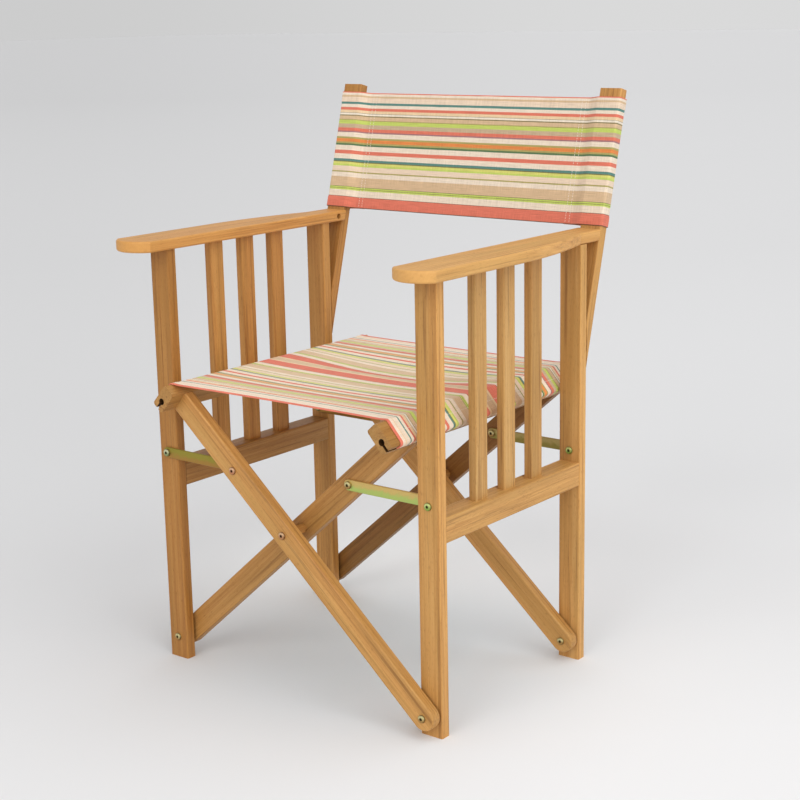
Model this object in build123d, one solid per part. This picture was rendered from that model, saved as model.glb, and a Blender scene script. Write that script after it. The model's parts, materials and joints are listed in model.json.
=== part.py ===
from build123d import *
import os
from math import cos, radians, sin, tan

# Folding armchair with a wooden frame and slung cloth, in millimetres.
# +X is the sitter's left, which a viewer in front sees on the right, +Y is the rear and +Z is up.
# The origin is on the floor, under the middle of the chair's box.

# Side frames: legs and armrest
TRACK = 500.0
LEG_WIDTH = 37.0
LEG_DEPTH = 17.5
LEG_HEIGHT = 649.0
LEG_PITCH = 353.5
ARM_THICK = 17.0
ARM_INNER_LIP = 5.5
ARM_OUTER_LIP = 29.5
ARM_NOSE_REACH = 38.0
ARM_NOSE_RISE = 19.0
ARM_TAPER = 200.0
ARM_ROUND = 3.5
EDGE_ROUND = 2.5

# Side frames: lower rail, slats and back post
RAIL_WIDTH = 35.0
RAIL_HEIGHT = 37.0
RAIL_DROP = 9.0
SLAT_THICK = 14.0
SLAT_DEPTH = 28.0
SLAT_PITCH = 69.0
SLAT_COUNT = 3
POST_DEPTH = 17.5
POST_LEAN = 15.0
POST_FOOT_DROP = 121.0
POST_CAP = 13.5

# Glued tenons
TENON_LENGTH = 9.0
TENON_SHOULDER = 3.0
TENON_FIT = 0.1

# Folding cross members, steel straps and seat rails
OPEN_ANGLE = 41.2
FOOT_PIVOT_HEIGHT = 34.0
MEMBER_WIDTH = 37.0
MEMBER_DEPTH = 17.5
STRAP_ARM = 125.0
STRAP_WIDTH = 16.5
STRAP_THICK = 3.0
STRAP_PLAY = 0.4
STRAP_EDGE = 0.8
SEAT_RAIL_THICK = 22.0
SEAT_RAIL_WIDTH = 40.0
SEAT_RAIL_FRONT = 47.5
SEAT_RAIL_REAR = 52.0
SEAT_RAIL_ROUND = 4.0
SEAT_RAIL_PLAY = 2.6
KEYHOLE_INSET = 14.5

# Cloth of the seat and the back, and the rods in the seat's hems
CLOTH_THICK = 1.0
CLOTH_GAP = 0.3
SEAT_CLOTH_SETBACK = 19.5
SEAT_CLOTH_DEPTH = 441.0
SEAT_DIP_ANGLE = 2.0
HEM_PLAY = 1.1
ROD_DIAMETER = 5.5
ROD_FIT = 0.1
BACK_CLOTH_HEIGHT = 192.5
BACK_CLOTH_RISE = 5.0
BACK_SEAM_INSET = 19.0
BACK_SEAM_LAP = 8.0
BACK_PANEL_SETBACK = 8.3

# Bolts, nuts, washers and spacers
BOLT_DIAMETER = 6.0
BOLT_FIT = 0.05
HEAD_DIAMETER = 11.5
HEAD_HEIGHT = 3.2
HEAD_ROUND = 1.6
SOCKET_FLATS = 4.0
SOCKET_DEPTH = 2.0
NUT_FLATS = 10.0
NUT_HEIGHT = 5.0
WASHER_DIAMETER = 16.0
PIVOT_PLAY = 0.2
BARREL_DIAMETER = 9.0
BARREL_LENGTH = 18.0
BARREL_INSET = 17.0
HEAD_ROOM = 0.3

# Heights and places that follow from the sizes above
lean = radians(POST_LEAN)
tilt = radians(OPEN_ANGLE)
half_track = TRACK / 2
leg_inner = half_track - LEG_WIDTH / 2
leg_outer = half_track + LEG_WIDTH / 2
arm_top = LEG_HEIGHT + ARM_THICK
post_foot_top = LEG_HEIGHT - POST_FOOT_DROP
chair_height = arm_top + BACK_CLOTH_RISE + (BACK_CLOTH_HEIGHT + POST_CAP) * cos(lean)
overhang = max(ARM_NOSE_REACH + ARM_NOSE_RISE, SEAT_RAIL_FRONT)
post_run = (chair_height - post_foot_top) * tan(lean)
chair_depth = overhang + LEG_PITCH + LEG_DEPTH + post_run + POST_DEPTH * cos(lean)

leg_face = (overhang - chair_depth / 2, overhang - chair_depth / 2 + LEG_PITCH)
post_plane = leg_face[1] + LEG_DEPTH
post_top_y = post_plane + post_run

foot_arm = half_track / cos(tilt)
cross_height = FOOT_PIVOT_HEIGHT + half_track * tan(tilt)
strap_height = cross_height + STRAP_ARM * sin(tilt)
strap_length = half_track - STRAP_ARM * cos(tilt)
rail_top = strap_height - STRAP_WIDTH / 2 - RAIL_DROP
cloth_skin = CLOTH_GAP + CLOTH_THICK
seat_rail_outer = leg_inner - SEAT_RAIL_PLAY - cloth_skin
seat_arm = (seat_rail_outer - SEAT_RAIL_WIDTH / 2 * sin(tilt)) / cos(tilt) - SEAT_RAIL_THICK / 2
seat_rail_span = (leg_face[0] - SEAT_RAIL_FRONT, post_plane + SEAT_RAIL_REAR)
seat_cloth_front = seat_rail_span[0] + SEAT_CLOTH_SETBACK

hole_radius = BOLT_DIAMETER / 2 + BOLT_FIT
strap_layer = STRAP_THICK + 2 * STRAP_PLAY
keyhole_radius = ROD_DIAMETER / 2 + ROD_FIT + CLOTH_THICK + HEM_PLAY
keyhole_slot = 2 * (CLOTH_THICK + HEM_PLAY)
keyhole_q = KEYHOLE_INSET - SEAT_RAIL_WIDTH / 2


def front_plane(x, y, z):
    """A plane that faces the viewer in front."""
    return Plane(origin=(x, y, z), x_dir=(1, 0, 0), z_dir=(0, -1, 0))


def along_y(x, z, start, end, section):
    """Sweep a section, drawn as seen from the front, from one depth to another."""
    return extrude(front_plane(x, start, z) * section, -(end - start))


def around(middle, width):
    """A pair of limits about a middle."""
    return (middle - width / 2, middle + width / 2)


def bolt_hole(x, z, start, end):
    """The space that a bolt with its running clearance takes between two depths."""
    return along_y(x, z, start, end, Circle(hole_radius))


def hexagon(flats):
    """A hexagon by its size across the flats."""
    return RegularPolygon(flats / 2, 6, major_radius=False)


def bolt_head(plane):
    """A button head with a hex socket, standing on a plane."""
    head = extrude(plane * Circle(HEAD_DIAMETER / 2), HEAD_HEIGHT)
    top = head.faces().sort_by(Axis(plane.origin, plane.z_dir))[-1]
    head = fillet(top.edges(), HEAD_ROUND)
    return head - extrude(plane.offset(HEAD_HEIGHT) * hexagon(SOCKET_FLATS), -SOCKET_DEPTH)


def bolt(x, z, seat, tip):
    """A button-head bolt whose head stands in front of the seat."""
    shank = along_y(x, z, seat, tip, Circle(BOLT_DIAMETER / 2))
    return bolt_head(front_plane(x, seat, z)) + shank


def nut(x, z, seat):
    """A hex nut behind its seat."""
    return along_y(x, z, seat, seat + NUT_HEIGHT, hexagon(NUT_FLATS) - Circle(hole_radius))


def ring(x, z, start, end):
    """A washer or a spacer between two depths."""
    return along_y(x, z, start, end, Circle(WASHER_DIAMETER / 2) - Circle(hole_radius))


def tenon_section(width, height, grow=0.0):
    """A tenon's section inside its bar's section, or its mortise when it grows by the fit."""
    inset = 2 * (TENON_SHOULDER - grow)
    return Rectangle(width - inset, height - inset)


def upright_tenon(y, base, rise, width, depth, grow=0.0):
    """A tenon on the leg line that stands on a base and rises, or hangs where the rise is negative."""
    length = rise + (grow if rise > 0 else -grow)
    return extrude(Pos(half_track, y, base) * tenon_section(width, depth, grow), length)


def slat_middles():
    """The depth of each slat's middle, spread evenly about the middle of the leg gap."""
    middle = (leg_face[0] + LEG_DEPTH + leg_face[1]) / 2
    return [middle + SLAT_PITCH * (i - (SLAT_COUNT - 1) / 2) for i in range(SLAT_COUNT)]


def rail_section(grow=None):
    """The lower rail's section, or that of its tenon or mortise."""
    if grow is None:
        return RectangleRounded(RAIL_WIDTH, RAIL_HEIGHT, EDGE_ROUND)
    return tenon_section(RAIL_WIDTH, RAIL_HEIGHT, grow)


def leg(index):
    """The right-hand front (0) or rear (1) leg, with its tenon, mortise and bolt holes."""
    face = leg_face[index]
    back = face + LEG_DEPTH
    middle = face + LEG_DEPTH / 2
    section = RectangleRounded(LEG_WIDTH, LEG_DEPTH, EDGE_ROUND)
    body = extrude(Pos(half_track, middle, 0) * section, LEG_HEIGHT)
    body += upright_tenon(middle, LEG_HEIGHT, TENON_LENGTH, LEG_WIDTH, LEG_DEPTH)
    depth = TENON_LENGTH + TENON_FIT
    mortise = (back - depth, back) if index == 0 else (face, face + depth)
    body -= along_y(half_track, rail_top - RAIL_HEIGHT / 2, *mortise, rail_section(TENON_FIT))
    for height in (FOOT_PIVOT_HEIGHT, strap_height):
        body -= bolt_hole(half_track, height, face, back)
    return body


def side_rail():
    """The right-hand lower rail between the legs, with mortises for the slats on top."""
    start, end = leg_face[0] + LEG_DEPTH, leg_face[1]
    height = rail_top - RAIL_HEIGHT / 2
    body = along_y(half_track, height, start, end, rail_section())
    body += along_y(half_track, height, start - TENON_LENGTH, end + TENON_LENGTH, rail_section(0.0))
    for y in slat_middles():
        body -= upright_tenon(y, rail_top, -TENON_LENGTH, SLAT_THICK, SLAT_DEPTH, TENON_FIT)
    return body


def slat(y):
    """A right-hand upright slat, tenoned into the rail and the armrest."""
    section = RectangleRounded(SLAT_THICK, SLAT_DEPTH, EDGE_ROUND)
    body = extrude(Pos(half_track, y, rail_top) * section, LEG_HEIGHT - rail_top)
    body += upright_tenon(y, LEG_HEIGHT, TENON_LENGTH, SLAT_THICK, SLAT_DEPTH)
    return body + upright_tenon(y, rail_top, -TENON_LENGTH, SLAT_THICK, SLAT_DEPTH)


def post_face(height):
    """The depth of the leaning post's front face at a height."""
    return post_top_y - (chair_height - height) * tan(lean)


def armrest():
    """The right-hand armrest: a bowed nose, and an outer side drawn in to the rear leg's outer face."""
    inner, outer = leg_inner - ARM_INNER_LIP, leg_outer + ARM_OUTER_LIP
    corner = leg_face[0] - ARM_NOSE_REACH
    start, end = leg_face[1] - ARM_TAPER, leg_face[1]
    back = post_face(arm_top)
    tip = ((inner + outer) / 2, corner - ARM_NOSE_RISE)
    nose = ThreePointArc((inner, corner), tip, (outer, corner))
    side = Line((outer, corner), (outer, start))
    swell = TangentArc((outer, start), (leg_outer, end), tangent=(0, 1))
    rest = Polyline((leg_outer, end), (leg_outer, back), (inner, back), (inner, corner))
    body = extrude(Pos(0, 0, LEG_HEIGHT) * make_face([nose, side, swell, rest]), ARM_THICK)
    rims = [e for e in body.edges() if abs(e.center().Z - LEG_HEIGHT - ARM_THICK / 2) > ARM_THICK / 4]
    body = fillet([e for e in rims if e.center().Y < back - ARM_ROUND / 2], ARM_ROUND)
    cut = Plane(origin=(0, post_face(LEG_HEIGHT), LEG_HEIGHT), z_dir=(0, -cos(lean), sin(lean)))
    body = split(body, bisect_by=cut, keep=Keep.TOP)
    for face in leg_face:
        middle = face + LEG_DEPTH / 2
        body -= upright_tenon(middle, LEG_HEIGHT, TENON_LENGTH, LEG_WIDTH, LEG_DEPTH, TENON_FIT)
    for y in slat_middles():
        body -= upright_tenon(y, LEG_HEIGHT, TENON_LENGTH, SLAT_THICK, SLAT_DEPTH, TENON_FIT)
    return body - arm_bolt_hole() - barrel_space(inner)


def arm_bolt_height():
    """The height of the bolt that holds the post to the armrest's end."""
    return LEG_HEIGHT + ARM_THICK / 2


def arm_bolt_seat():
    """The depth of the seat that the bolt's sunk head bears on in the post."""
    return post_face(arm_bolt_height() + HEAD_DIAMETER / 2) + POST_DEPTH / cos(lean) / 2


def barrel_middle():
    """The depth of the barrel nut's middle in the armrest."""
    return post_face(arm_bolt_height()) - BARREL_INSET


def arm_bolt_tip():
    """The depth that the bolt reaches to, past the barrel nut."""
    return barrel_middle() - BARREL_DIAMETER


def arm_bolt_hole():
    """The bolt's space through the post and into the armrest."""
    return bolt_hole(half_track, arm_bolt_height(), arm_bolt_tip() - HEAD_ROOM, post_top_y)


def barrel(radius, x):
    """A cylinder across the armrest at the barrel nut's place, between two limits in X."""
    place = Plane(origin=(x[0], barrel_middle(), arm_bolt_height()), x_dir=(0, 1, 0), z_dir=(1, 0, 0))
    return extrude(place * Circle(radius), x[1] - x[0])


def barrel_space(inner):
    """The blind hole for the barrel nut, open on the armrest's inner side."""
    return barrel(BARREL_DIAMETER / 2 + BOLT_FIT, (inner, half_track + BARREL_LENGTH / 2 + HEAD_ROOM))


def barrel_nut():
    """The right-hand barrel nut, cross-drilled for its bolt."""
    return barrel(BARREL_DIAMETER / 2, around(half_track, BARREL_LENGTH)) - arm_bolt_hole()


def arm_bolt():
    """The right-hand bolt from the rear of the post into the barrel nut."""
    seat = arm_bolt_seat()
    plane = Plane(origin=(half_track, seat, arm_bolt_height()), x_dir=(1, 0, 0), z_dir=(0, 1, 0))
    return bolt_head(plane) + extrude(plane * Circle(BOLT_DIAMETER / 2), arm_bolt_tip() - seat)


def back_post():
    """The right-hand leaning post, cut off along the rear face of the leg that it is glued to."""
    length = (post_run + POST_DEPTH * cos(lean)) / sin(lean)
    top = Pos(half_track, post_top_y, chair_height) * Rot(-POST_LEAN, 0, 0) * Pos(0, POST_DEPTH / 2, 0)
    body = extrude(top * RectangleRounded(LEG_WIDTH, POST_DEPTH, EDGE_ROUND), -length)
    body = split(body, bisect_by=Plane(origin=(0, post_plane, 0), z_dir=(0, 1, 0)), keep=Keep.TOP)
    sink = Circle(HEAD_DIAMETER / 2 + HEAD_ROOM)
    body -= along_y(half_track, arm_bolt_height(), arm_bolt_seat(), post_top_y, sink)
    return body - arm_bolt_hole()


def member_plane(side, y):
    """A plane with its X axis up along a cross member and its Y axis to the member's upper edge."""
    along = (side * cos(tilt), 0, sin(tilt))
    return Plane(origin=(0, y, cross_height), x_dir=along, z_dir=(0, -side, 0))


def member_middle(side, face):
    """The depth of a cross member's middle: in front of the legs (-1) or behind them (1)."""
    if side < 0:
        return face - strap_layer - MEMBER_DEPTH / 2
    return face + LEG_DEPTH + strap_layer + MEMBER_DEPTH / 2


def seat_tenon(grow=0.0):
    """The section of a member's tenon in the seat rail, above the keyhole, along the member's axis."""
    low = keyhole_q + keyhole_radius + TENON_SHOULDER - grow
    high = min(MEMBER_WIDTH, SEAT_RAIL_WIDTH) / 2 - TENON_SHOULDER + grow
    start = seat_arm - SEAT_RAIL_THICK / 2
    end = start + TENON_LENGTH + grow
    return Pos((start + end) / 2, (low + high) / 2) * Rectangle(end - start, high - low)


def cross_member(side, face):
    """A cross member from its round foot, past the crossing, to the seat rail that it carries."""
    plane = member_plane(side, member_middle(side, face))
    end = seat_arm - SEAT_RAIL_THICK / 2
    outline = Pos((end - foot_arm) / 2, 0) * Rectangle(foot_arm + end, MEMBER_WIDTH)
    outline += Pos(-foot_arm, 0) * Circle(MEMBER_WIDTH / 2)
    body = extrude(plane * outline, MEMBER_DEPTH / 2, both=True)
    rims = [e for f in body.faces().filter_by(Axis.Y) for e in f.edges()]
    sides = [e for e in rims if abs(plane.to_local_coords(e.center()).X - end) > EDGE_ROUND]
    body = fillet(sides, EDGE_ROUND)
    body += extrude(plane * seat_tenon(), MEMBER_DEPTH / 2 - TENON_SHOULDER, both=True)
    for place in (-foot_arm, 0, STRAP_ARM):
        body -= extrude(plane * Pos(place, 0) * Circle(hole_radius), MEMBER_DEPTH / 2, both=True)
    return body


def seat_rail(side):
    """A seat rail across the ends of its two members, with a keyhole groove for the hem."""
    middle = sum(seat_rail_span) / 2
    length = seat_rail_span[1] - seat_rail_span[0]
    plane = member_plane(side, middle)
    section = RectangleRounded(SEAT_RAIL_THICK, SEAT_RAIL_WIDTH, SEAT_RAIL_ROUND)
    section -= Pos(0, keyhole_q) * Circle(keyhole_radius)
    section -= Pos(0, keyhole_q - SEAT_RAIL_WIDTH / 2) * Rectangle(keyhole_slot, SEAT_RAIL_WIDTH)
    body = extrude(plane * Pos(seat_arm, 0) * section, length / 2, both=True)
    for face in leg_face:
        mortise = member_plane(side, member_middle(side, face)) * seat_tenon(TENON_FIT)
        body -= extrude(mortise, MEMBER_DEPTH / 2 - TENON_SHOULDER + TENON_FIT, both=True)
    return body


def seat_rod(side):
    """The rod in the seat cloth's hem."""
    middle = seat_cloth_front + SEAT_CLOTH_DEPTH / 2
    place = member_plane(side, middle) * Pos(seat_arm, keyhole_q)
    return extrude(place * Circle(ROD_DIAMETER / 2), SEAT_CLOTH_DEPTH / 2, both=True)


def strap_face(side, face):
    """The front depth of a strap: in front of a left leg (-1) or behind a right leg (1)."""
    return face - STRAP_PLAY - STRAP_THICK if side < 0 else face + LEG_DEPTH + STRAP_PLAY


def strap(side, face):
    """A flat steel strap from a leg to the member that ends on that leg's side."""
    front = strap_face(side, face)
    middle = side * (half_track - strap_length / 2)
    outline = SlotCenterToCenter(strap_length, STRAP_WIDTH)
    for end in (-1, 1):
        outline -= Pos(end * strap_length / 2, 0) * Circle(hole_radius)
    body = along_y(middle, strap_height, front, front + STRAP_THICK, outline)
    rims = [e for f in body.faces().filter_by(Axis.Y) for e in f.outer_wire().edges()]
    return chamfer(rims, STRAP_EDGE)


def seat_wrap():
    """The right-hand end of the seat cloth's section, round the rail and into its keyhole."""
    off = CLOTH_GAP + CLOTH_THICK / 2
    edge_p, edge_q = SEAT_RAIL_THICK / 2 - SEAT_RAIL_ROUND, SEAT_RAIL_WIDTH / 2 - SEAT_RAIL_ROUND
    out_p, low_q = SEAT_RAIL_THICK / 2 + off, -SEAT_RAIL_WIDTH / 2 - off
    crown = CenterArc((edge_p, edge_q), SEAT_RAIL_ROUND + off, 0, 90 + SEAT_DIP_ANGLE - OPEN_ANGLE)
    wide = Line((out_p, edge_q), (out_p, -edge_q))
    lower = CenterArc((edge_p, -edge_q), SEAT_RAIL_ROUND + off, -90, 90)
    narrow = Line((edge_p, low_q), (0, low_q))
    skin = trace([crown, wide, lower, narrow], CLOTH_THICK)
    hem_inner = ROD_DIAMETER / 2 + ROD_FIT
    neck_low = low_q - CLOTH_THICK / 2
    neck = Pos(0, (neck_low + keyhole_q) / 2) * Rectangle(2 * CLOTH_THICK, keyhole_q - neck_low)
    hem = Pos(0, keyhole_q) * Circle(hem_inner + CLOTH_THICK)
    section = skin + neck + hem - Pos(0, keyhole_q) * Circle(hem_inner)
    place = Pos(seat_arm * cos(tilt), cross_height + seat_arm * sin(tilt))
    return place * Rot(0, 0, OPEN_ANGLE) * section


def seat_panel():
    """The seat cloth's section between the rails, a shallow dip that leaves both crowns smoothly."""
    dip = radians(SEAT_DIP_ANGLE)
    reach = seat_arm + SEAT_RAIL_THICK / 2 - SEAT_RAIL_ROUND
    rise = SEAT_RAIL_WIDTH / 2 - SEAT_RAIL_ROUND
    turn = SEAT_RAIL_ROUND + CLOTH_GAP + CLOTH_THICK / 2
    x = reach * cos(tilt) - rise * sin(tilt) - turn * sin(dip)
    z = cross_height + reach * sin(tilt) + rise * cos(tilt) + turn * cos(dip)
    return trace(ThreePointArc((-x, z), (0, z - x * tan(dip / 2)), (x, z)), CLOTH_THICK)


def seat_sling():
    """The seat cloth, from one hem to the other."""
    wrap = seat_wrap()
    section = seat_panel() + wrap + mirror(wrap, about=Plane.YZ)
    return along_y(0, 0, seat_cloth_front, seat_cloth_front + SEAT_CLOTH_DEPTH, section)


def sleeve_outline(side, wall, seam_points):
    """A closed outline round a post, a wall's distance off it, that runs in to the seam."""
    far = side * (leg_outer + wall)
    near = side * leg_inner
    front, rear = -wall, POST_DEPTH + wall
    post_points = [(near, front), (far, front), (far, rear), (near, rear)]
    outline = make_face(Polyline(*post_points, *seam_points, close=True))
    corners = [v for v in outline.vertices() if abs(v.X) > leg_outer]
    return fillet(corners, EDGE_ROUND + wall)


def back_section():
    """The back cloth's section, square to the posts: a sleeve round each post and a panel between."""
    seam = leg_inner - BACK_SEAM_INSET
    levels = [BACK_PANEL_SETBACK - cloth_skin + layer * CLOTH_THICK for layer in range(3)]
    section = Pos(0, (levels[0] + levels[1]) / 2) * Rectangle(2 * seam, CLOTH_THICK)
    lap = Rectangle(BACK_SEAM_LAP, CLOTH_THICK)
    for side in (-1, 1):
        edge = side * seam
        section += sleeve_outline(side, cloth_skin, [(edge, levels[2]), (edge, levels[0])])
        section -= sleeve_outline(side, CLOTH_GAP, [(edge, levels[1])])
        section += Pos(edge - side * BACK_SEAM_LAP / 2, (levels[1] + levels[2]) / 2) * lap
    return section


def back_sling():
    """The back cloth, slipped over the posts from above."""
    top = Pos(0, post_top_y, chair_height) * Rot(-POST_LEAN, 0, 0) * Pos(0, 0, -POST_CAP)
    return extrude(top * back_section(), -BACK_CLOTH_HEIGHT)


def stud_nut(x, z, start, seat):
    """A nut behind its seat, with the threaded stud that it holds from a depth in front."""
    stud = along_y(x, z, start, seat, Circle(BOLT_DIAMETER / 2))
    return stud + along_y(x, z, seat, seat + NUT_HEIGHT, hexagon(NUT_FLATS))


def pair(maker):
    """Two like fasteners, one on the front legs' side and one on the rear legs' side."""
    return Compound(children=[maker(face) for face in leg_face])


def member_faces(side, face):
    """The front and rear depths of a cross member."""
    return around(member_middle(side, face), MEMBER_DEPTH)


def foot_nodes():
    """The foot pivots: the left ones hold a member behind the leg, the right ones a member in front."""
    x, z = half_track, FOOT_PIVOT_HEIGHT
    seat = {face: member_faces(-1, face)[0] - PIVOT_PLAY for face in leg_face}
    nut_seat = {face: member_faces(1, face)[1] + PIVOT_PLAY for face in leg_face}
    inner_left = {face: member_faces(1, face)[0] - PIVOT_PLAY for face in leg_face}
    inner_right = {face: member_faces(-1, face)[1] + PIVOT_PLAY for face in leg_face}
    return {
        "foot_bolts_left": pair(lambda f: bolt(-x, z, f, nut_seat[f] + NUT_HEIGHT)),
        "foot_washers_left": pair(lambda f: ring(-x, z, f + LEG_DEPTH, inner_left[f])),
        "foot_nuts_left": pair(lambda f: nut(-x, z, nut_seat[f])),
        "foot_bolts_right": pair(lambda f: bolt(x, z, seat[f], f + LEG_DEPTH + NUT_HEIGHT)),
        "foot_washers_right": pair(lambda f: ring(x, z, inner_right[f], f)),
        "foot_nuts_right": pair(lambda f: nut(x, z, f + LEG_DEPTH)),
    }


def crossing_nodes():
    """The pivots where the members cross, with a spacer as deep as the leg and the strap layers."""
    z = cross_height
    seat = {face: member_faces(-1, face)[0] - PIVOT_PLAY for face in leg_face}
    inner = {face: member_faces(-1, face)[1] + PIVOT_PLAY for face in leg_face}
    nut_seat = {face: member_faces(1, face)[1] for face in leg_face}
    return {
        "cross_bolts": pair(lambda f: bolt(0, z, seat[f], nut_seat[f] + NUT_HEIGHT)),
        "cross_spacers": pair(lambda f: ring(0, z, inner[f], member_faces(1, f)[0])),
        "cross_nuts": pair(lambda f: nut(0, z, nut_seat[f])),
    }


def strap_nodes():
    """The strap pivots on the legs, and the two halves of each pivot between a strap and its member."""
    x, z = half_track, strap_height
    joint = STRAP_ARM * cos(tilt)
    left = {face: around(strap_face(-1, face) + STRAP_THICK / 2, STRAP_THICK) for face in leg_face}
    right = {face: around(strap_face(1, face) + STRAP_THICK / 2, STRAP_THICK) for face in leg_face}
    head_seat = {face: left[face][0] - PIVOT_PLAY for face in leg_face}
    nut_seat = {face: right[face][1] + PIVOT_PLAY for face in leg_face}
    return {
        "strap_bolts_left": pair(lambda f: bolt(-x, z, head_seat[f], f + LEG_DEPTH + NUT_HEIGHT)),
        "strap_nuts_left": pair(lambda f: nut(-x, z, f + LEG_DEPTH)),
        "strap_bolts_right": pair(lambda f: bolt(x, z, f, nut_seat[f] + NUT_HEIGHT)),
        "strap_nuts_right": pair(lambda f: nut(x, z, nut_seat[f])),
        "member_screws_left": pair(lambda f: bolt(-joint, z, *member_faces(-1, f))),
        "member_nuts_left": pair(lambda f: stud_nut(-joint, z, *left[f])),
        "member_screws_right": pair(lambda f: bolt(joint, z, *right[f])),
        "member_nuts_right": pair(lambda f: stud_nut(joint, z, *member_faces(1, f))),
    }


def side_nodes():
    """The pieces of the right-hand side frame."""
    pieces = {
        "front_leg": leg(0),
        "rear_leg": leg(1),
        "armrest": armrest(),
        "side_rail": side_rail(),
        "back_post": back_post(),
        "barrel_nut": barrel_nut(),
        "arm_bolt": arm_bolt(),
    }
    for number, y in enumerate(slat_middles(), 1):
        pieces[f"slat_{number}"] = slat(y)
    return pieces


nodes = {}
for name, piece in side_nodes().items():
    nodes[f"{name}_right"] = piece
    nodes[f"{name}_left"] = mirror(piece, about=Plane.YZ)
for side, hand, letter in ((-1, "left", "a"), (1, "right", "b")):
    for place, face in zip(("front", "rear"), leg_face):
        nodes[f"cross_{letter}_{place}"] = cross_member(side, face)
        nodes[f"strap_{place}_{hand}"] = strap(side, face)
    nodes[f"seat_rail_{hand}"] = seat_rail(side)
    nodes[f"seat_rod_{hand}"] = seat_rod(side)
nodes["seat_sling"] = seat_sling()
nodes["back_sling"] = back_sling()
nodes.update(foot_nodes())
nodes.update(crossing_nodes())
nodes.update(strap_nodes())

os.makedirs("parts", exist_ok=True)
for name, shape in nodes.items():
    export_step(shape, f"parts/{name}.step")
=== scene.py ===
import json
import logging
import math
from dataclasses import dataclass, field
from enum import Enum
from typing import Any, Callable, Iterable, Optional, Sequence, Union

import bmesh
import bpy
from mathutils import Matrix, Vector, noise


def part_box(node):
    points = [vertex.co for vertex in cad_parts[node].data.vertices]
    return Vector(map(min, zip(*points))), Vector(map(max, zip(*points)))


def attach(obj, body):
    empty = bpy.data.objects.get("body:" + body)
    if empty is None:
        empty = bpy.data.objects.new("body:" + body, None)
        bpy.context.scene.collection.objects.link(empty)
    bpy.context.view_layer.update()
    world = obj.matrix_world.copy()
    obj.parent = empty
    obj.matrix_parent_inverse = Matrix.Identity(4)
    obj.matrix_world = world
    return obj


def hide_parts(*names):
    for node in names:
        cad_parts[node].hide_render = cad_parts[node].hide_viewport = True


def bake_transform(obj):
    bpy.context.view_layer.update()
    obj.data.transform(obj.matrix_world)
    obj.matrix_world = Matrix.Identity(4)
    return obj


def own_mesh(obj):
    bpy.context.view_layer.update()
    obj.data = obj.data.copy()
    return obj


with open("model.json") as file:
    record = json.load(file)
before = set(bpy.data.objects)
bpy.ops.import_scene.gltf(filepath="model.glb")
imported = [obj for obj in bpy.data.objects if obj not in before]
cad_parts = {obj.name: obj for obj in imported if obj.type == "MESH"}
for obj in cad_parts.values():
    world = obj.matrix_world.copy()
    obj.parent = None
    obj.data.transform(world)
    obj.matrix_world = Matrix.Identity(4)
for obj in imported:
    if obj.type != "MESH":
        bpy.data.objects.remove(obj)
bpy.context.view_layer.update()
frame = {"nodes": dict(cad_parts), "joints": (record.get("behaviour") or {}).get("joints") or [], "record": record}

# The folding armchair's looks: oiled timber, plated steel and striped canvas, in a pale studio.
# Sizes are in metres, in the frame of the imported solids: +X to the sitter's left, +Y to the rear, +Z up.
# Angles are in radians unless a comment says otherwise. Levels are sRGB values, and a Colour is linear.

LOG = logging.getLogger("armchair")
MM = 0.001
CLOTH_UV = "cloth"
RAIL_X = 206.15 * MM
RAIL_Z = 433.33 * MM
RAIL_TILT = math.radians(41.2)
KEYHOLE_LEVEL = -5.5 * MM
POST_LEAN = math.radians(15)
HEM_FADE = 5 * MM
ARC_STEP = math.radians(12)
STRAIGHT = 1e-4
CREASE = math.radians(50)
Colour = tuple[float, float, float, float]
Levels = tuple[float, float, float]
Place = tuple[float, float, float]


def linear(levels: Levels, gain: float = 1.0) -> Colour:
    """Turns sRGB levels into a linear colour.

    Args:
        levels: Red, green and blue from 0 to 255.
        gain: Factor on the linear values.

    Returns:
        The linear colour with a full alpha.
    """
    made = []
    for level in levels:
        share = level / 255
        value = share / 12.92 if share <= 0.04045 else ((share + 0.055) / 1.055) ** 2.4
        made.append(value * gain)
    return (made[0], made[1], made[2], 1.0)


def smooth(value: float, low: float, high: float) -> float:
    """Rises smoothly from 0 at low to 1 at high."""
    share = min(1.0, max(0.0, (value - low) / (high - low)))
    return share * share * (3 - 2 * share)


def unevenness(x: float, y: float, waves: tuple[float, float], seed: float) -> float:
    """Gives a smooth noise from -1 to 1 over a cloth, from its waves in a metre each way."""
    return noise.noise(Vector((x * waves[0], y * waves[1], seed)))


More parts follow.
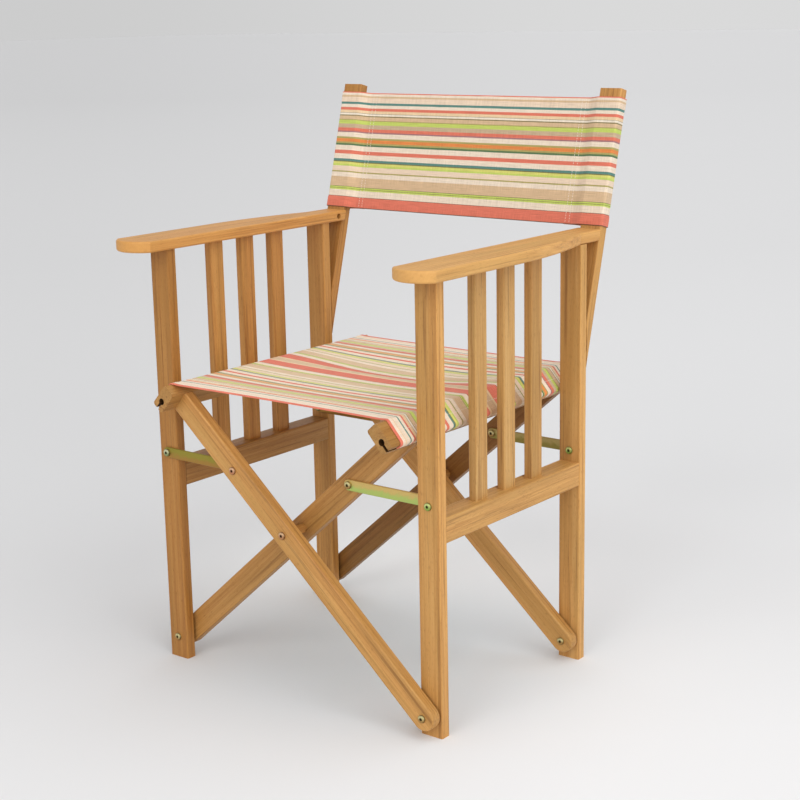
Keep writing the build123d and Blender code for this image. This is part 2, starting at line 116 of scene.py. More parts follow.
class Wire:
    """One output of a shader node, with arithmetic that adds Math nodes."""

    def __init__(self, tree: bpy.types.NodeTree, socket: Optional[bpy.types.NodeSocket]) -> None:
        """Keeps the tree and the socket."""
        self.tree = tree
        self.socket = socket

    def maths(self, operation: str, *terms: Union["Wire", float]) -> "Wire":
        """Adds one Math node.

        Args:
            operation: The node's operation.
            terms: Its inputs in order, as wires or numbers.

        Returns:
            The node's result.
        """
        made = self.tree.nodes.new("ShaderNodeMath")
        made.operation = operation
        for socket, term in zip(made.inputs, terms):
            join(self.tree, socket, term)
        return Wire(self.tree, made.outputs[0])

    def __add__(self, other: Union["Wire", float]) -> "Wire":
        """Adds."""
        return self.maths("ADD", self, other)

    def __radd__(self, other: float) -> "Wire":
        """Adds to a number."""
        return self.maths("ADD", other, self)

    def __sub__(self, other: Union["Wire", float]) -> "Wire":
        """Subtracts."""
        return self.maths("SUBTRACT", self, other)

    def __rsub__(self, other: float) -> "Wire":
        """Subtracts from a number."""
        return self.maths("SUBTRACT", other, self)

    def __mul__(self, other: Union["Wire", float]) -> "Wire":
        """Multiplies."""
        return self.maths("MULTIPLY", self, other)

    def __rmul__(self, other: float) -> "Wire":
        """Multiplies a number."""
        return self.maths("MULTIPLY", other, self)

    def __truediv__(self, other: Union["Wire", float]) -> "Wire":
        """Divides."""
        return self.maths("DIVIDE", self, other)

    def __rtruediv__(self, other: float) -> "Wire":
        """Divides a number."""
        return self.maths("DIVIDE", other, self)

    def __gt__(self, other: Union["Wire", float]) -> "Wire":
        """Gives 1 where it is greater, else 0."""
        return self.maths("GREATER_THAN", self, other)

    def __lt__(self, other: Union["Wire", float]) -> "Wire":
        """Gives 1 where it is less, else 0."""
        return self.maths("LESS_THAN", self, other)

    def __abs__(self) -> "Wire":
        """Drops the sign."""
        return self.maths("ABSOLUTE", self)

    def root(self) -> "Wire":
        """Takes the square root."""
        return self.maths("SQRT", self)

    def sine(self) -> "Wire":
        """Takes the sine."""
        return self.maths("SINE", self)


def join(tree: bpy.types.NodeTree, socket: bpy.types.NodeSocket, value: Any) -> None:
    """Links a wire to a socket, or sets its value.

    Args:
        tree: The node tree.
        socket: The input.
        value: A wire, a number, a vector or a colour.
    """
    if isinstance(value, Wire):
        tree.links.new(value.socket, socket)
    else:
        socket.default_value = value


class Finish:
    """A node tree under construction, for a material or for the world."""

    def __init__(self, holder: Union[bpy.types.Material, bpy.types.World]) -> None:
        """Empties the holder's node tree.

        Args:
            holder: The material or the world.
        """
        holder.use_nodes = True
        self.holder = holder
        self.tree = holder.node_tree
        self.tree.nodes.clear()

    def node(self, kind: str, settings: Optional[dict[str, Any]] = None,
             sockets: Optional[dict[Union[int, str], Any]] = None, out: Union[int, str] = 0) -> Wire:
        """Adds a node.

        Args:
            kind: The node's type.
            settings: Its own settings, set first. The name stops gives a ramp's positions and colours.
            sockets: Values or wires for its inputs, by name or place.
            out: The output that is wanted.

        Returns:
            That output, empty for a node that ends the tree.
        """
        made = self.tree.nodes.new(kind)
        for name, value in (settings or {}).items():
            if name == "stops":
                self.set_stops(made.color_ramp, value)
            elif name == "interpolation":
                made.color_ramp.interpolation = value
            else:
                setattr(made, name, value)
        for name, value in (sockets or {}).items():
            join(self.tree, made.inputs[name], value)
        return Wire(self.tree, made.outputs[out] if made.outputs else None)

    @staticmethod
    def set_stops(ramp: bpy.types.ColorRamp, stops: Sequence[tuple[float, Colour]]) -> None:
        """Gives a ramp its positions and colours.

        Args:
            ramp: The ramp of a node.
            stops: Positions and colours in order.
        """
        while len(ramp.elements) < len(stops):
            ramp.elements.new(1.0)
        for element, (position, colour) in zip(ramp.elements, stops):
            element.position = position
            element.color = colour

    def ramp(self, value: Wire, stops: Sequence[tuple[float, Colour]], steps: bool = False) -> Wire:
        """Turns a value into a colour.

        Args:
            value: The value from 0 to 1.
            stops: Positions and colours in order.
            steps: True for bands with hard edges.

        Returns:
            The colour.
        """
        settings = {"interpolation": "CONSTANT" if steps else "LINEAR", "stops": stops}
        return self.node("ShaderNodeValToRGB", settings, {"Fac": value})

    def mix(self, share: Any, first: Any, second: Any, how: str = "MIX") -> Wire:
        """Mixes two colours.

        Args:
            share: How much of the second is taken.
            first: The first colour.
            second: The second colour.
            how: The way of mixing.

        Returns:
            The mixed colour.
        """
        # For colours a Mix node takes its factor at 0 and the colours at 6 and 7, and gives its result at 2.
        settings = {"data_type": "RGBA", "blend_type": how}
        return self.node("ShaderNodeMix", settings, {0: share, 6: first, 7: second}, 2)

    def speckle(self, place: Wire, scale: float, detail: float = 2.0, rough: float = 0.5) -> Wire:
        """Adds a noise.

        Args:
            place: The coordinates.
            scale: Features in a metre.
            detail: Octaves.
            rough: Weight of the finer octaves.

        Returns:
            The noise from 0 to 1.
        """
        sockets = {"Vector": place, "Scale": scale, "Detail": detail, "Roughness": rough}
        return self.node("ShaderNodeTexNoise", None, sockets, "Fac")

    def reach(self, value: Wire, low: float, high: float) -> Wire:
        """Spreads the part of a value between low and high over 0 to 1."""
        return self.node("ShaderNodeMapRange", {"interpolation_type": "SMOOTHSTEP"},
                         {"Value": value, "From Min": low, "From Max": high})

    def spot(self) -> Wire:
        """Gives the piece's own coordinates."""
        return self.node("ShaderNodeTexCoord", None, None, "Object")

    def axis(self, place: Wire, letter: str) -> Wire:
        """Takes X, Y or Z of a place."""
        return self.node("ShaderNodeSeparateXYZ", None, {0: place}, letter)

    def close(self, sockets: dict[str, Any],
              bump: Optional[tuple[Wire, float, float]] = None) -> bpy.types.Material:
        """Ends the tree in a surface.

        Args:
            sockets: Values or wires of the surface shader.
            bump: A height with its strength and its distance.

        Returns:
            The finished material.
        """
        given = dict(sockets)
        if bump is not None:
            height, strength, distance = bump
            relief = {"Height": height, "Strength": strength, "Distance": distance}
            given["Normal"] = self.node("ShaderNodeBump", None, relief)
        surface = self.node("ShaderNodeBsdfPrincipled", None, given)
        self.node("ShaderNodeOutputMaterial", None, {"Surface": surface})
        return self.holder


class Grain(Enum):
    """Which way a board's grain runs, as the turn that brings Z onto it."""

    UPRIGHT = (0.0, 0.0, 0.0)
    DEPTH = (-math.pi / 2, 0.0, 0.0)
    POST = (-POST_LEAN, 0.0, 0.0)
    MEMBER_A = (0.0, RAIL_TILT - math.pi / 2, 0.0)
    MEMBER_B = (0.0, math.pi / 2 - RAIL_TILT, 0.0)


@dataclass(frozen=True)
class Keyhole:
    """Painted shade inside the groove that holds the hem in a seat rail: a bore with a slot below it."""

    side: float
    radius: float = 5.0 * MM
    slot: float = 2.15 * MM
    edge: float = 0.15 * MM

    def share(self, finish: Finish) -> Wire:
        """Gives 1 inside the groove and 0 on the rest of the rail.

        Args:
            finish: The rail's material under construction.

        Returns:
            The share of painted shade.
        """
        spot, cosine, sine = finish.spot(), math.cos(RAIL_TILT), math.sin(RAIL_TILT)
        x = finish.axis(spot, "X") * self.side - RAIL_X
        z = finish.axis(spot, "Z") - RAIL_Z
        along = x * cosine + z * sine
        over = z * cosine - x * sine - KEYHOLE_LEVEL
        off = (along * along + over * over).root()
        bore = 1 - finish.reach(off, self.radius, self.radius + self.edge)
        slot = (1 - finish.reach(abs(along), self.slot, self.slot + self.edge)) * (over < 0.0)
        return bore + slot - bore * slot


@dataclass(frozen=True)
class Flecks:
    """Marks in the wood: colour, strength, features in a metre, octaves and the span of noise they take."""

    levels: Levels
    amount: float
    scale: float
    detail: float
    cut: tuple[float, float]
    rough: float = 0.5

    def share(self, finish: Finish, place: Wire) -> Wire:
        """Gives 1 on a mark and 0 beside it."""
        return finish.reach(finish.speckle(place, self.scale, self.detail, self.rough), *self.cut)


@dataclass(frozen=True)
class Timber:
    """Oiled golden hardwood: rings about a heart beside the board, long streaks and short dark pores."""

    name: str
    grain: Grain
    heart: Vector
    tone: float
    warmth: float
    keyhole: Optional[Keyhole] = None
    calm: float = 0.0
    outer: Optional[float] = None
    # Colours by the strength of the figure, and marks over them
    shades: tuple[tuple[float, Levels], ...] = (
        (0.16, (140, 90, 42)), (0.36, (182, 128, 67)), (0.54, (199, 146, 80)), (0.78, (212, 163, 97)))
    drift: Flecks = Flecks((166, 126, 66), 0.34, 38.0, 2.0, (0.42, 0.64))
    veins: Flecks = Flecks((112, 68, 30), 0.46, 210.0, 3.0, (0.56, 0.70), 0.55)
    pores: Flecks = Flecks((114, 70, 32), 0.45, 1500.0, 1.0, (0.60, 0.74))
    # Painted shade in a keyhole, and a linear factor for painted light on the outer face that looks towards the
    # right lamp
    keyhole_shade: Levels = (48, 26, 12)
    keyhole_shading: float = 0.9
    right_side_light: Colour = (1.21, 1.24, 1.28, 1.0)
    right_side_light_depth: tuple[float, float] = (1.4 * MM, 0.3 * MM)
    # The nose of a calm board, where little figure shows
    nose: tuple[float, float] = (-262 * MM, -222 * MM)
    nose_figure: float = 0.25
    # Figure: features in a metre, how far they are drawn out along the grain, and their weights
    ring_scale: float = 46.0
    streak_scale: float = 330.0
    broad_scale: float = 42.0
    stretch: float = 14.0
    long_stretch: float = 46.0
    ring_weight: float = 0.12
    streak_weight: float = 0.68
    broad_weight: float = 0.60
    figure_shift: float = -0.20
    # Surface: roughness, the heights of its features, and the strength and depth of the relief
    roughness: float = 0.50
    ring_polish: float = 0.07
    pore_rough: float = 0.12
    streak_height: float = 0.6
    ring_height: float = 0.15
    pore_depth: float = 0.8
    relief: tuple[float, float] = (0.22, 0.25 * MM)
    # Stain and painted light: gain of a plain board, and the steps for one unit of tone or warmth
    plain_gain: float = 0.955
    tone_step: float = 0.10
    green_step: float = 0.08
    blue_step: float = 0.20

    def along(self, finish: Finish, stretch: float) -> Wire:
        """Gives coordinates about the heart, drawn out along the grain."""
        sockets = {"Vector": finish.spot(), "Location": self.heart, "Rotation": self.grain.value,
                   "Scale": (1, 1, stretch)}
        return finish.node("ShaderNodeMapping", {"vector_type": "TEXTURE"}, sockets)

    def loudness(self, finish: Finish) -> Union[Wire, float]:
        """Gives how strongly the figure shows, which is less on a calm board and least at its nose.

        Args:
            finish: The board's material under construction.

        Returns:
            A factor from 0 to 1.
        """
        if self.calm == 0.0:
            return 1.0
        behind = finish.reach(finish.axis(finish.spot(), "Y"), *self.nose)
        return (1 - self.calm) * (self.nose_figure + (1 - self.nose_figure) * behind)

    def material(self) -> bpy.types.Material:
        """Builds the material.

        Returns:
            The finished material.
        """
        finish = Finish(bpy.data.materials.new(self.name))
        board = self.along(finish, self.stretch)
        far = self.along(finish, self.long_stretch)
        loud = self.loudness(finish)
        rings = finish.node("ShaderNodeTexWave",
                            {"wave_type": "RINGS", "rings_direction": "Z", "wave_profile": "SAW"},
                            {"Vector": board, "Scale": self.ring_scale, "Distortion": 7.0, "Detail": 3.0,
                             "Detail Scale": 0.8, "Detail Roughness": 0.6}, "Fac")
        broad = finish.speckle(far, self.broad_scale)
        streak = finish.speckle(far, self.streak_scale, 3.0, 0.6)
        figure = (rings * self.ring_weight + streak * self.streak_weight + broad * self.broad_weight
                  + self.figure_shift)
        colour = finish.ramp((figure - 0.5) * loud + 0.5,
                             [(place, self.stained_and_lit(levels)) for place, levels in self.shades])
        drift = self.drift.share(finish, board)
        veins = self.veins.share(finish, far)
        pores = self.pores.share(finish, board)
        for share, flecks in ((drift, self.drift), (veins, self.veins), (pores, self.pores)):
            colour = finish.mix(share * flecks.amount * loud, colour, self.stained_and_lit(flecks.levels))
        # Painted light: the outer face, which looks towards the right lamp, is made paler
        if self.outer is not None:
            inner, outer = (self.outer - depth for depth in self.right_side_light_depth)
            edge = finish.reach(finish.axis(finish.spot(), "X"), inner, outer)
            colour = finish.mix(edge, colour, self.right_side_light, "MULTIPLY")
        if self.keyhole is not None:
            # Painted shade inside the keyhole's bore and slot
            colour = finish.mix(self.keyhole.share(finish) * self.keyhole_shading, colour, linear(self.keyhole_shade))
        rough = self.roughness - rings * self.ring_polish + pores * self.pore_rough
        height = streak * self.streak_height + rings * self.ring_height - pores * self.pore_depth
        return finish.close({"Base Color": colour, "Roughness": rough, "Specular IOR Level": 0.30},
                            (height * loud, *self.relief))

    def stained_and_lit(self, levels: Levels) -> Colour:
        """Shifts a colour by the board's tone and warmth, which hold its own tone and painted light and shade.

        Args:
            levels: The colour on a plain board.

        Returns:
            The linear colour on this board.
        """
        red, green, blue, alpha = linear(levels, self.plain_gain + self.tone_step * self.tone)
        green *= 1 - self.green_step * self.warmth
        blue *= 1 - self.blue_step * self.warmth
        return (red, green, blue, alpha)


@dataclass(frozen=True)
class PlatedSteel:
    """Steel with a yellow plating whose tint drifts from one colour to another across the piece."""

    name: str
    upper: Levels
    lower: Levels
    level: float
    spread: float
    middle: Optional[float] = None
    # A head's socket and rim: radius, blur, colour and how much of it; painted shade in the socket, and the head
    # darker towards its rim
    socket: float = 2.2 * MM
    socket_blur: float = 0.3 * MM
    socket_shade: Levels = (52, 40, 22)
    socket_shading: float = 0.9
    rim: float = 4.9 * MM
    rim_blur: float = 0.7 * MM
    rim_darker: Levels = (92, 76, 40)
    rim_darkening: float = 0.55
    # Plating: features in a metre, the drift between the tints, and fine dull spots
    cloud_scale: float = 120.0
    cloud_weight: float = 1.1
    drift_cut: tuple[float, float] = (0.2, 0.8)
    fine_scale: float = 1400.0
    fine_cut: tuple[float, float] = (0.35, 0.8)
    fine_amount: float = 0.25
    fine_gain: float = 0.8
    roughness: float = 0.30
    fine_rough: float = 0.22
    relief: tuple[float, float] = (0.12, 0.1 * MM)

    def shade_socket_darken_rim(self, finish: Finish, spot: Wire, tint: Wire) -> Wire:
        """Paints shade into a head's socket and darkens its rim, by the distance from the bolt's axis.

        Args:
            finish: The piece's material under construction.
            spot: The piece's own coordinates.
            tint: The colour of the clean plating.

        Returns:
            The colour with the painted shade and the darker rim.
        """
        x = finish.axis(spot, "X") - self.middle
        z = finish.axis(spot, "Z") - self.level
        off = (x * x + z * z).root()
        rim = finish.reach(off, self.rim - self.rim_blur, self.rim + self.rim_blur)
        socket = 1 - finish.reach(off, self.socket - self.socket_blur, self.socket + self.socket_blur)
        tint = finish.mix(rim * self.rim_darkening, tint, linear(self.rim_darker))
        return finish.mix(socket * self.socket_shading, tint, linear(self.socket_shade))

    def material(self) -> bpy.types.Material:
        """Builds the material.

        Returns:
            The finished material.
        """
        finish = Finish(bpy.data.materials.new(self.name))
        spot = finish.spot()
        height = finish.axis(spot, "Z")
        cloud = finish.speckle(spot, self.cloud_scale, 3.0, 0.6)
        drift = (height - self.level) / self.spread + (cloud - 0.5) * self.cloud_weight + 0.5
        tint = finish.mix(finish.reach(drift, *self.drift_cut), linear(self.lower), linear(self.upper))
        fine = finish.speckle(spot, self.fine_scale)
        dull = finish.reach(fine, *self.fine_cut) * self.fine_amount
        tint = finish.mix(dull, tint, linear(self.lower, self.fine_gain))
        if self.middle is not None:
            # Painted shade in a head's socket, and a darker rim
            tint = self.shade_socket_darken_rim(finish, spot, tint)
        rough = self.roughness + fine * self.fine_rough
        return finish.close({"Base Color": tint, "Metallic": 0.85, "Roughness": rough}, (fine, *self.relief))


class Yarn(Enum):
    """Dyed yarns of the canvas, and one colour of painted shade, as sRGB levels."""

    CORAL = (237, 130, 106)
    CREAM = (252, 235, 213)
    PALE = (254, 243, 223)
    BLUSH = (250, 226, 200)
    STRAW = (249, 219, 176)
    TAN = (228, 196, 157)
    ROSE = (211, 186, 153)
    TEAL = (98, 146, 136)
    OLIVE = (185, 174, 106)
    MOSS = (134, 126, 78)
    LIME = (207, 224, 112)
    YELLOW = (229, 228, 124)
    ORANGE = (240, 148, 80)
    GREEN = (98, 129, 88)
    LAVENDER = (176, 128, 130)
    GREY = (165, 150, 130)
    # Not a yarn: painted shade at the lower hem's step and along its folded edge
    BROWN = (122, 92, 72)


Bands = tuple[tuple[Yarn, float], ...]

# Stripes of the cloth from the top of the back down, with their widths in millimetres.
STRIPES: Bands = (
    (Yarn.CORAL, 1.4), (Yarn.CREAM, 3.4), (Yarn.TAN, 3.0), (Yarn.BLUSH, 8.0), (Yarn.TEAL, 3.6),
    (Yarn.CREAM, 4.8), (Yarn.CORAL, 4.2), (Yarn.STRAW, 4.6), (Yarn.GREY, 0.9), (Yarn.PALE, 2.2),
    (Yarn.CREAM, 0.8), (Yarn.MOSS, 0.9), (Yarn.TAN, 6.2), (Yarn.OLIVE, 1.6), (Yarn.LIME, 5.4),
    (Yarn.ROSE, 6.4), (Yarn.CORAL, 5.4), (Yarn.LAVENDER, 2.2), (Yarn.CREAM, 7.2), (Yarn.OLIVE, 2.8),
    (Yarn.ORANGE, 5.8), (Yarn.OLIVE, 2.4), (Yarn.GREEN, 2.8), (Yarn.CREAM, 8.2), (Yarn.CORAL, 5.4),
    (Yarn.CREAM, 8.2), (Yarn.TEAL, 3.4), (Yarn.MOSS, 1.4), (Yarn.YELLOW, 4.0), (Yarn.LIME, 2.4),
    (Yarn.BLUSH, 8.4), (Yarn.OLIVE, 2.2), (Yarn.CREAM, 7.4), (Yarn.TAN, 14.8), (Yarn.MOSS, 1.2),
    (Yarn.LIME, 1.8), (Yarn.MOSS, 1.0), (Yarn.LIME, 2.2), (Yarn.CREAM, 9.8), (Yarn.BROWN, 0.8),
    # The two thin dark lines by the lower coral band are painted shade at the hem's step and its folded edge
    (Yarn.CORAL, 16.0), (Yarn.BROWN, 0.8), (Yarn.CORAL, 0.3),
)


@dataclass(frozen=True)
class StripedCanvas:
    """Matt woven canvas with stripes across the run of the cloth."""

    name: str
    bands: Bands
    span: float
    mirrored: bool = False
    sheen_paling: float = 0.0
    # A gain on all yarns that paints light and shade: the seat's copy brighter, the back's copy darker
    gain: float = 1.0
    top: Optional[tuple[float, float]] = None
    # The pale colour of the painted sheen on the seat's upper side, and the yarns that it spares
    sheen_pale: Levels = (246, 228, 194)
    sheen_spared: tuple[Yarn, ...] = (Yarn.CORAL, Yarn.CREAM, Yarn.PALE)
    # Pitch of the threads, waver of a stripe's edge, and blur where the painted sheen of the upper side ends
    thread: float = 0.45 * MM
    wander: float = 0.5 * MM
    sheen_blur: tuple[float, float] = (12 * MM, 6 * MM)
    # Slubs along the stripes and across them: how they are drawn out, and features in a metre
    stripe_yarns: tuple[Place, float] = ((0.02, 1.0, 1.0), 1700.0)
    cross_yarns: tuple[Place, float] = ((1.0, 0.03, 1.0), 1300.0)
    stripe_share: float = 0.6
    shades: tuple[tuple[float, Levels], ...] = ((0.30, (206, 204, 200)), (0.62, (255, 255, 255)))
    # Surface: roughness, the heights of weave and slubs, and the strength and depth of the relief
    roughness: float = 0.88
    slub_polish: float = 0.1
    weave_height: float = 0.5
    slub_height: float = 0.5
    cross_height: float = 0.3
    relief: tuple[float, float] = (0.35, 0.2 * MM)

    def stops(self, sheen_paling: float) -> list[tuple[float, Colour]]:
        """Places the stripes over 0 to 1.

        Args:
            sheen_paling: How far the painted sheen pales the yarns that it doesn't spare.

        Returns:
            The start and the colour of each stripe.
        """
        total = sum(width for _, width in self.bands)
        made, start = [], 0.0
        for yarn, width in self.bands:
            dye, sheen_tint = Vector(linear(yarn.value, self.gain)), Vector(linear(self.sheen_pale, self.gain))
            made.append((start / total, tuple(dye.lerp(sheen_tint, 0.0 if yarn in self.sheen_spared else sheen_paling))))
            start += width
        return made

    def stripes(self, finish: Finish, place: Wire, sheen_paling: float = 0.0) -> Wire:
        """Colours a place from 0 to 1 by two ramps, because one ramp can't hold all stripes.

        Args:
            finish: The cloth's material under construction.
            place: The place across the stripes.
            sheen_paling: How far the painted sheen pales the yarns that it doesn't spare.

        Returns:
            The colour.
        """
        stops = self.stops(sheen_paling)
        half = len(stops) // 2
        first = finish.ramp(place, stops[:half], True)
        second = finish.ramp(place, stops[half:], True)
        return finish.mix(place > stops[half][0], first, second)

    def slubs(self, finish: Finish, flat: Wire, yarns: tuple[Place, float]) -> Wire:
        """Gives the unevenness of the yarns that run one way, as a noise drawn out along them.

        Args:
            finish: The cloth's material under construction.
            flat: Coordinates on the flat cloth.
            yarns: How the noise is drawn out, and its features in a metre.

        Returns:
            The noise from 0 to 1.
        """
        drawn, scale = yarns
        place = finish.node("ShaderNodeMapping", None, {"Vector": flat, "Scale": drawn})
        return finish.speckle(place, scale, 2.0, 0.6)

    def material(self) -> bpy.types.Material:
        """Builds the material.

        Returns:
            The finished material.
        """
        finish = Finish(bpy.data.materials.new(self.name))
        flat = finish.node("ShaderNodeUVMap", {"uv_map": CLOTH_UV})
        across = finish.axis(flat, "X")
        run = finish.axis(flat, "Y")
        slub = self.slubs(finish, flat, self.stripe_yarns)
        cross = self.slubs(finish, flat, self.cross_yarns)
        place = run / self.span
        if self.mirrored:
            place = 1 - abs(place - 1)
        place = place + (slub - 0.5) * (self.wander / self.span)
        colour = self.stripes(finish, place)
        # Painted sheen: the seat's upper side between the rails is paler
        if self.top is not None:
            middle, half = self.top
            inner, outer = half - self.sheen_blur[0], half + self.sheen_blur[1]
            upper = 1 - finish.reach(abs(across - middle), inner, outer)
            colour = finish.mix(upper, colour, self.stripes(finish, place, self.sheen_paling))
        shades = [(spot, linear(levels)) for spot, levels in self.shades]
        shade = finish.ramp(slub * self.stripe_share + cross * (1 - self.stripe_share), shades)
        colour = finish.mix(1.0, colour, shade, "MULTIPLY")
        turns = math.pi / self.thread
        weave = (across * turns).sine() * (run * turns).sine()
        height = weave * self.weave_height + slub * self.slub_height + cross * self.cross_height
        rough = self.roughness - slub * self.slub_polish
        return finish.close({"Base Color": colour, "Roughness": rough, "Specular IOR Level": 0.25,
                             "Sheen Weight": 0.12, "Sheen Roughness": 0.5}, (height, *self.relief))


@dataclass(frozen=True)
class SewingThread:
    """Twisted off-white sewing thread."""

    name: str
    twist_scale: float = 2600.0
    shades: tuple[tuple[float, Levels], ...] = ((0.3, (226, 214, 198)), (0.7, (248, 242, 232)))
    relief: tuple[float, float] = (0.3, 0.1 * MM)

    def material(self) -> bpy.types.Material:
        """Builds the material.

        Returns:
            The finished material.
        """
        finish = Finish(bpy.data.materials.new(self.name))
        twist = finish.speckle(finish.spot(), self.twist_scale, 1.0)
        colour = finish.ramp(twist, [(spot, linear(levels)) for spot, levels in self.shades])
        return finish.close({"Base Color": colour, "Roughness": 0.75, "Specular IOR Level": 0.3},
                            (twist, *self.relief))


def paint(piece: bpy.types.Object, material: bpy.types.Material) -> None:
    """Gives a piece one material in all its slots.

    Args:
        piece: A solid's object or a new piece.
        material: The finished material.
    """
    if not piece.material_slots:
        piece.data.materials.append(material)
    for slot in piece.material_slots:
        slot.material = material


def node_middle(name: str) -> Vector:
    """Gives the middle of a solid's box."""
    low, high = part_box(name)
    return (low + high) / 2


@dataclass
class Timbers:
    """All wooden pieces, each board with its own heart and direction of grain, and a tone that holds painted light
    and shade.
    """

    grains: tuple[tuple[str, Grain], ...] = (
        ("front_leg", Grain.UPRIGHT), ("rear_leg", Grain.UPRIGHT), ("slat", Grain.UPRIGHT),
        ("armrest", Grain.DEPTH), ("side_rail", Grain.DEPTH), ("seat_rail", Grain.DEPTH),
        ("back_post", Grain.POST), ("cross_a_", Grain.MEMBER_A), ("cross_b_", Grain.MEMBER_B),
        ("cross_spacers", Grain.DEPTH))
    # Where the hearts lie beside the boards and how they move on along them, in millimetres
    hearts: tuple[tuple[float, float], ...] = (
        (62, 35), (-48, 52), (71, -40), (-66, -31), (38, 74), (-75, 22), (55, -58), (-41, -69))
    depth_step: float = 37.0
    rise_step: float = 41.0
    arm_calm: float = 0.15
    # Boards whose outer face gets painted light
    right_lit_boards: tuple[str, ...] = ("front_leg_right", "rear_leg_right", "back_post_right")
    # Each board's tone and warmth. Besides the wood's own tone they hold painted light and shade: the left legs,
    # slats, post and rails, and cross_b_rear, darker as painted shade; the armrests and side_rail_right paler as
    # painted light
    tones_with_painted_light: tuple[tuple[str, float, float], ...] = (
        ("front_leg_left", -2.4, 1.6), ("rear_leg_left", -0.9, 0.7), ("slat_1_left", -0.2, 0.6),
        ("slat_2_left", -0.3, 0.9), ("slat_3_left", -0.5, 0.8), ("back_post_left", -1.4, 1.2),
        ("armrest_left", 1.9, 0.2), ("side_rail_left", -2.3, 0.3), ("seat_rail_left", -1.4, 0.0),
        ("cross_a_front", 0.8, -0.1), ("cross_a_rear", 0.0, -0.2), ("cross_b_front", -1.6, 0.3),
        ("cross_b_rear", -4.8, 1.1), ("front_leg_right", -0.1, 0.0), ("rear_leg_right", 0.0, -0.2),
        ("slat_1_right", 0.1, -1.3), ("slat_2_right", 0.0, -1.0), ("slat_3_right", 0.0, -0.7),
        ("back_post_right", -0.3, 0.2), ("armrest_right", 2.8, -0.8), ("side_rail_right", 1.9, -0.9),
        ("seat_rail_right", -2.0, -0.2), ("cross_spacers", -1.5, 0.4))

    def grain_of(self, name: str) -> Optional[Grain]:
        """Finds a node's grain by the start of its name.

        Args:
            name: The node's name.

        Returns:
            The grain, or nothing for a piece that isn't wood.
        """
        return next((grain for start, grain in self.grains if name.startswith(start)), None)

    def heart_of(self, name: str, grain: Grain, index: int) -> Vector:
        """Places a board's heart beside it, square to the grain.

        Args:
            name: The board's node.
            grain: The way of its grain.
            index: Its place among the boards.

        Returns:
            The heart's place.
        """
        first, second = self.hearts[index % len(self.hearts)]
        offsets = {Grain.DEPTH: (first, self.depth_step * index, second),
                   Grain.MEMBER_A: (first, second, first),
                   Grain.MEMBER_B: (first, second, -first)}
        offset = offsets.get(grain, (first, second, self.rise_step * index))
        return node_middle(name) + Vector(offset) * MM

    def dress(self) -> None:
        """Gives every board its material."""
        boards = [name for name in sorted(frame["nodes"]) if self.grain_of(name)]
        tones_with_painted_light = {name: (tone, warmth) for name, tone, warmth in self.tones_with_painted_light}
        for index, name in enumerate(boards):
            grain = self.grain_of(name)
            tone, warmth = tones_with_painted_light[name]
            side = 1.0 if name.endswith("right") else -1.0
            keyhole = Keyhole(side) if name.startswith("seat_rail") else None
            calm = self.arm_calm if name.startswith("armrest") else 0.0
            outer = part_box(name)[1].x if name in self.right_lit_boards else None
            timber = Timber(f"timber_{name}", grain, self.heart_of(name, grain, index), tone, warmth,
                            keyhole, calm, outer)
            paint(frame["nodes"][name], timber.material())
            LOG.info("timber: %s, grain %s", name, grain.name.lower())


@dataclass
class Hardware:
    """Straps, bolts, nuts, washers, barrel nuts and hem rods."""

    # Tints of the straps, then of bolts, nuts and rods
    olive: Levels = (158, 146, 60)
    # On the left straps' lower side: partly the plating's own orange, partly a painted reflection of the wood
    orange_and_wood_reflection: Levels = (172, 132, 66)
    lime: Levels = (184, 201, 112)
    sand: Levels = (217, 185, 114)
    straw: Levels = (186, 168, 108)
    umber: Levels = (152, 140, 74)
    silver: Levels = (214, 205, 150)
    rose: Levels = (176, 140, 84)
    # Pieces with a head, and the tints of those that differ
    heads: tuple[str, ...] = ("foot_bolts", "cross_bolts", "strap_bolts", "member_screws", "arm_bolt")
    tints: tuple[tuple[str, Levels, Levels], ...] = (
        ("cross_bolts", (228, 190, 150), (192, 138, 96)),
        ("member_screws_left", (228, 186, 150), (196, 134, 98)),
        ("strap_bolts_right", (206, 218, 140), (150, 176, 84)),
        ("strap_bolts_left", (216, 216, 178), (150, 160, 110)))
    barrel: str = "barrel_nut"
    soot: Levels = (46, 36, 26)
    straps: tuple[str, ...] = ("strap_front", "strap_rear")
    left_drop: float = 1 * MM
    strap_spread: float = 12 * MM
    head_spread: float = 9 * MM
    starts: tuple[str, ...] = ("foot_", "cross_bolts", "cross_nuts", "strap_bolts", "strap_nuts", "member_",
                               "arm_bolt", "seat_rod")

    def strap(self, name: str) -> PlatedSteel:
        """Chooses a strap's tints by its side.

        Args:
            name: The strap's node.

        Returns:
            The strap's finish.
        """
        level = node_middle(name).z
        if name.endswith("left"):
            # The left straps' lower tint: partly the plating's own orange, partly a painted reflection of the wood
            upper, lower, level = self.olive, self.orange_and_wood_reflection, level - self.left_drop
        elif "rear" in name:
            upper, lower = self.straw, self.umber
        else:
            upper, lower = self.sand, self.lime
        return PlatedSteel(f"plating_{name}", upper, lower, level, self.strap_spread)

    def dress(self) -> None:
        """Gives every steel piece its material."""
        tints = {name: (upper, lower) for name, upper, lower in self.tints}
        for name in sorted(frame["nodes"]):
            middle = node_middle(name)
            if name.startswith(self.straps):
                plating = self.strap(name)
            elif name.startswith(self.barrel):
                plating = PlatedSteel(f"blued_{name}", self.soot, self.soot, middle.z, self.head_spread)
            elif name.startswith(self.starts):
                axis = middle.x if name.startswith(self.heads) else None
                upper, lower = tints.get(name, (self.silver, self.rose))
                plating = PlatedSteel(f"plating_{name}", upper, lower, middle.z, self.head_spread, axis)
            else:
                continue
            paint(frame["nodes"][name], plating.material())
            LOG.info("plated steel: %s", name)


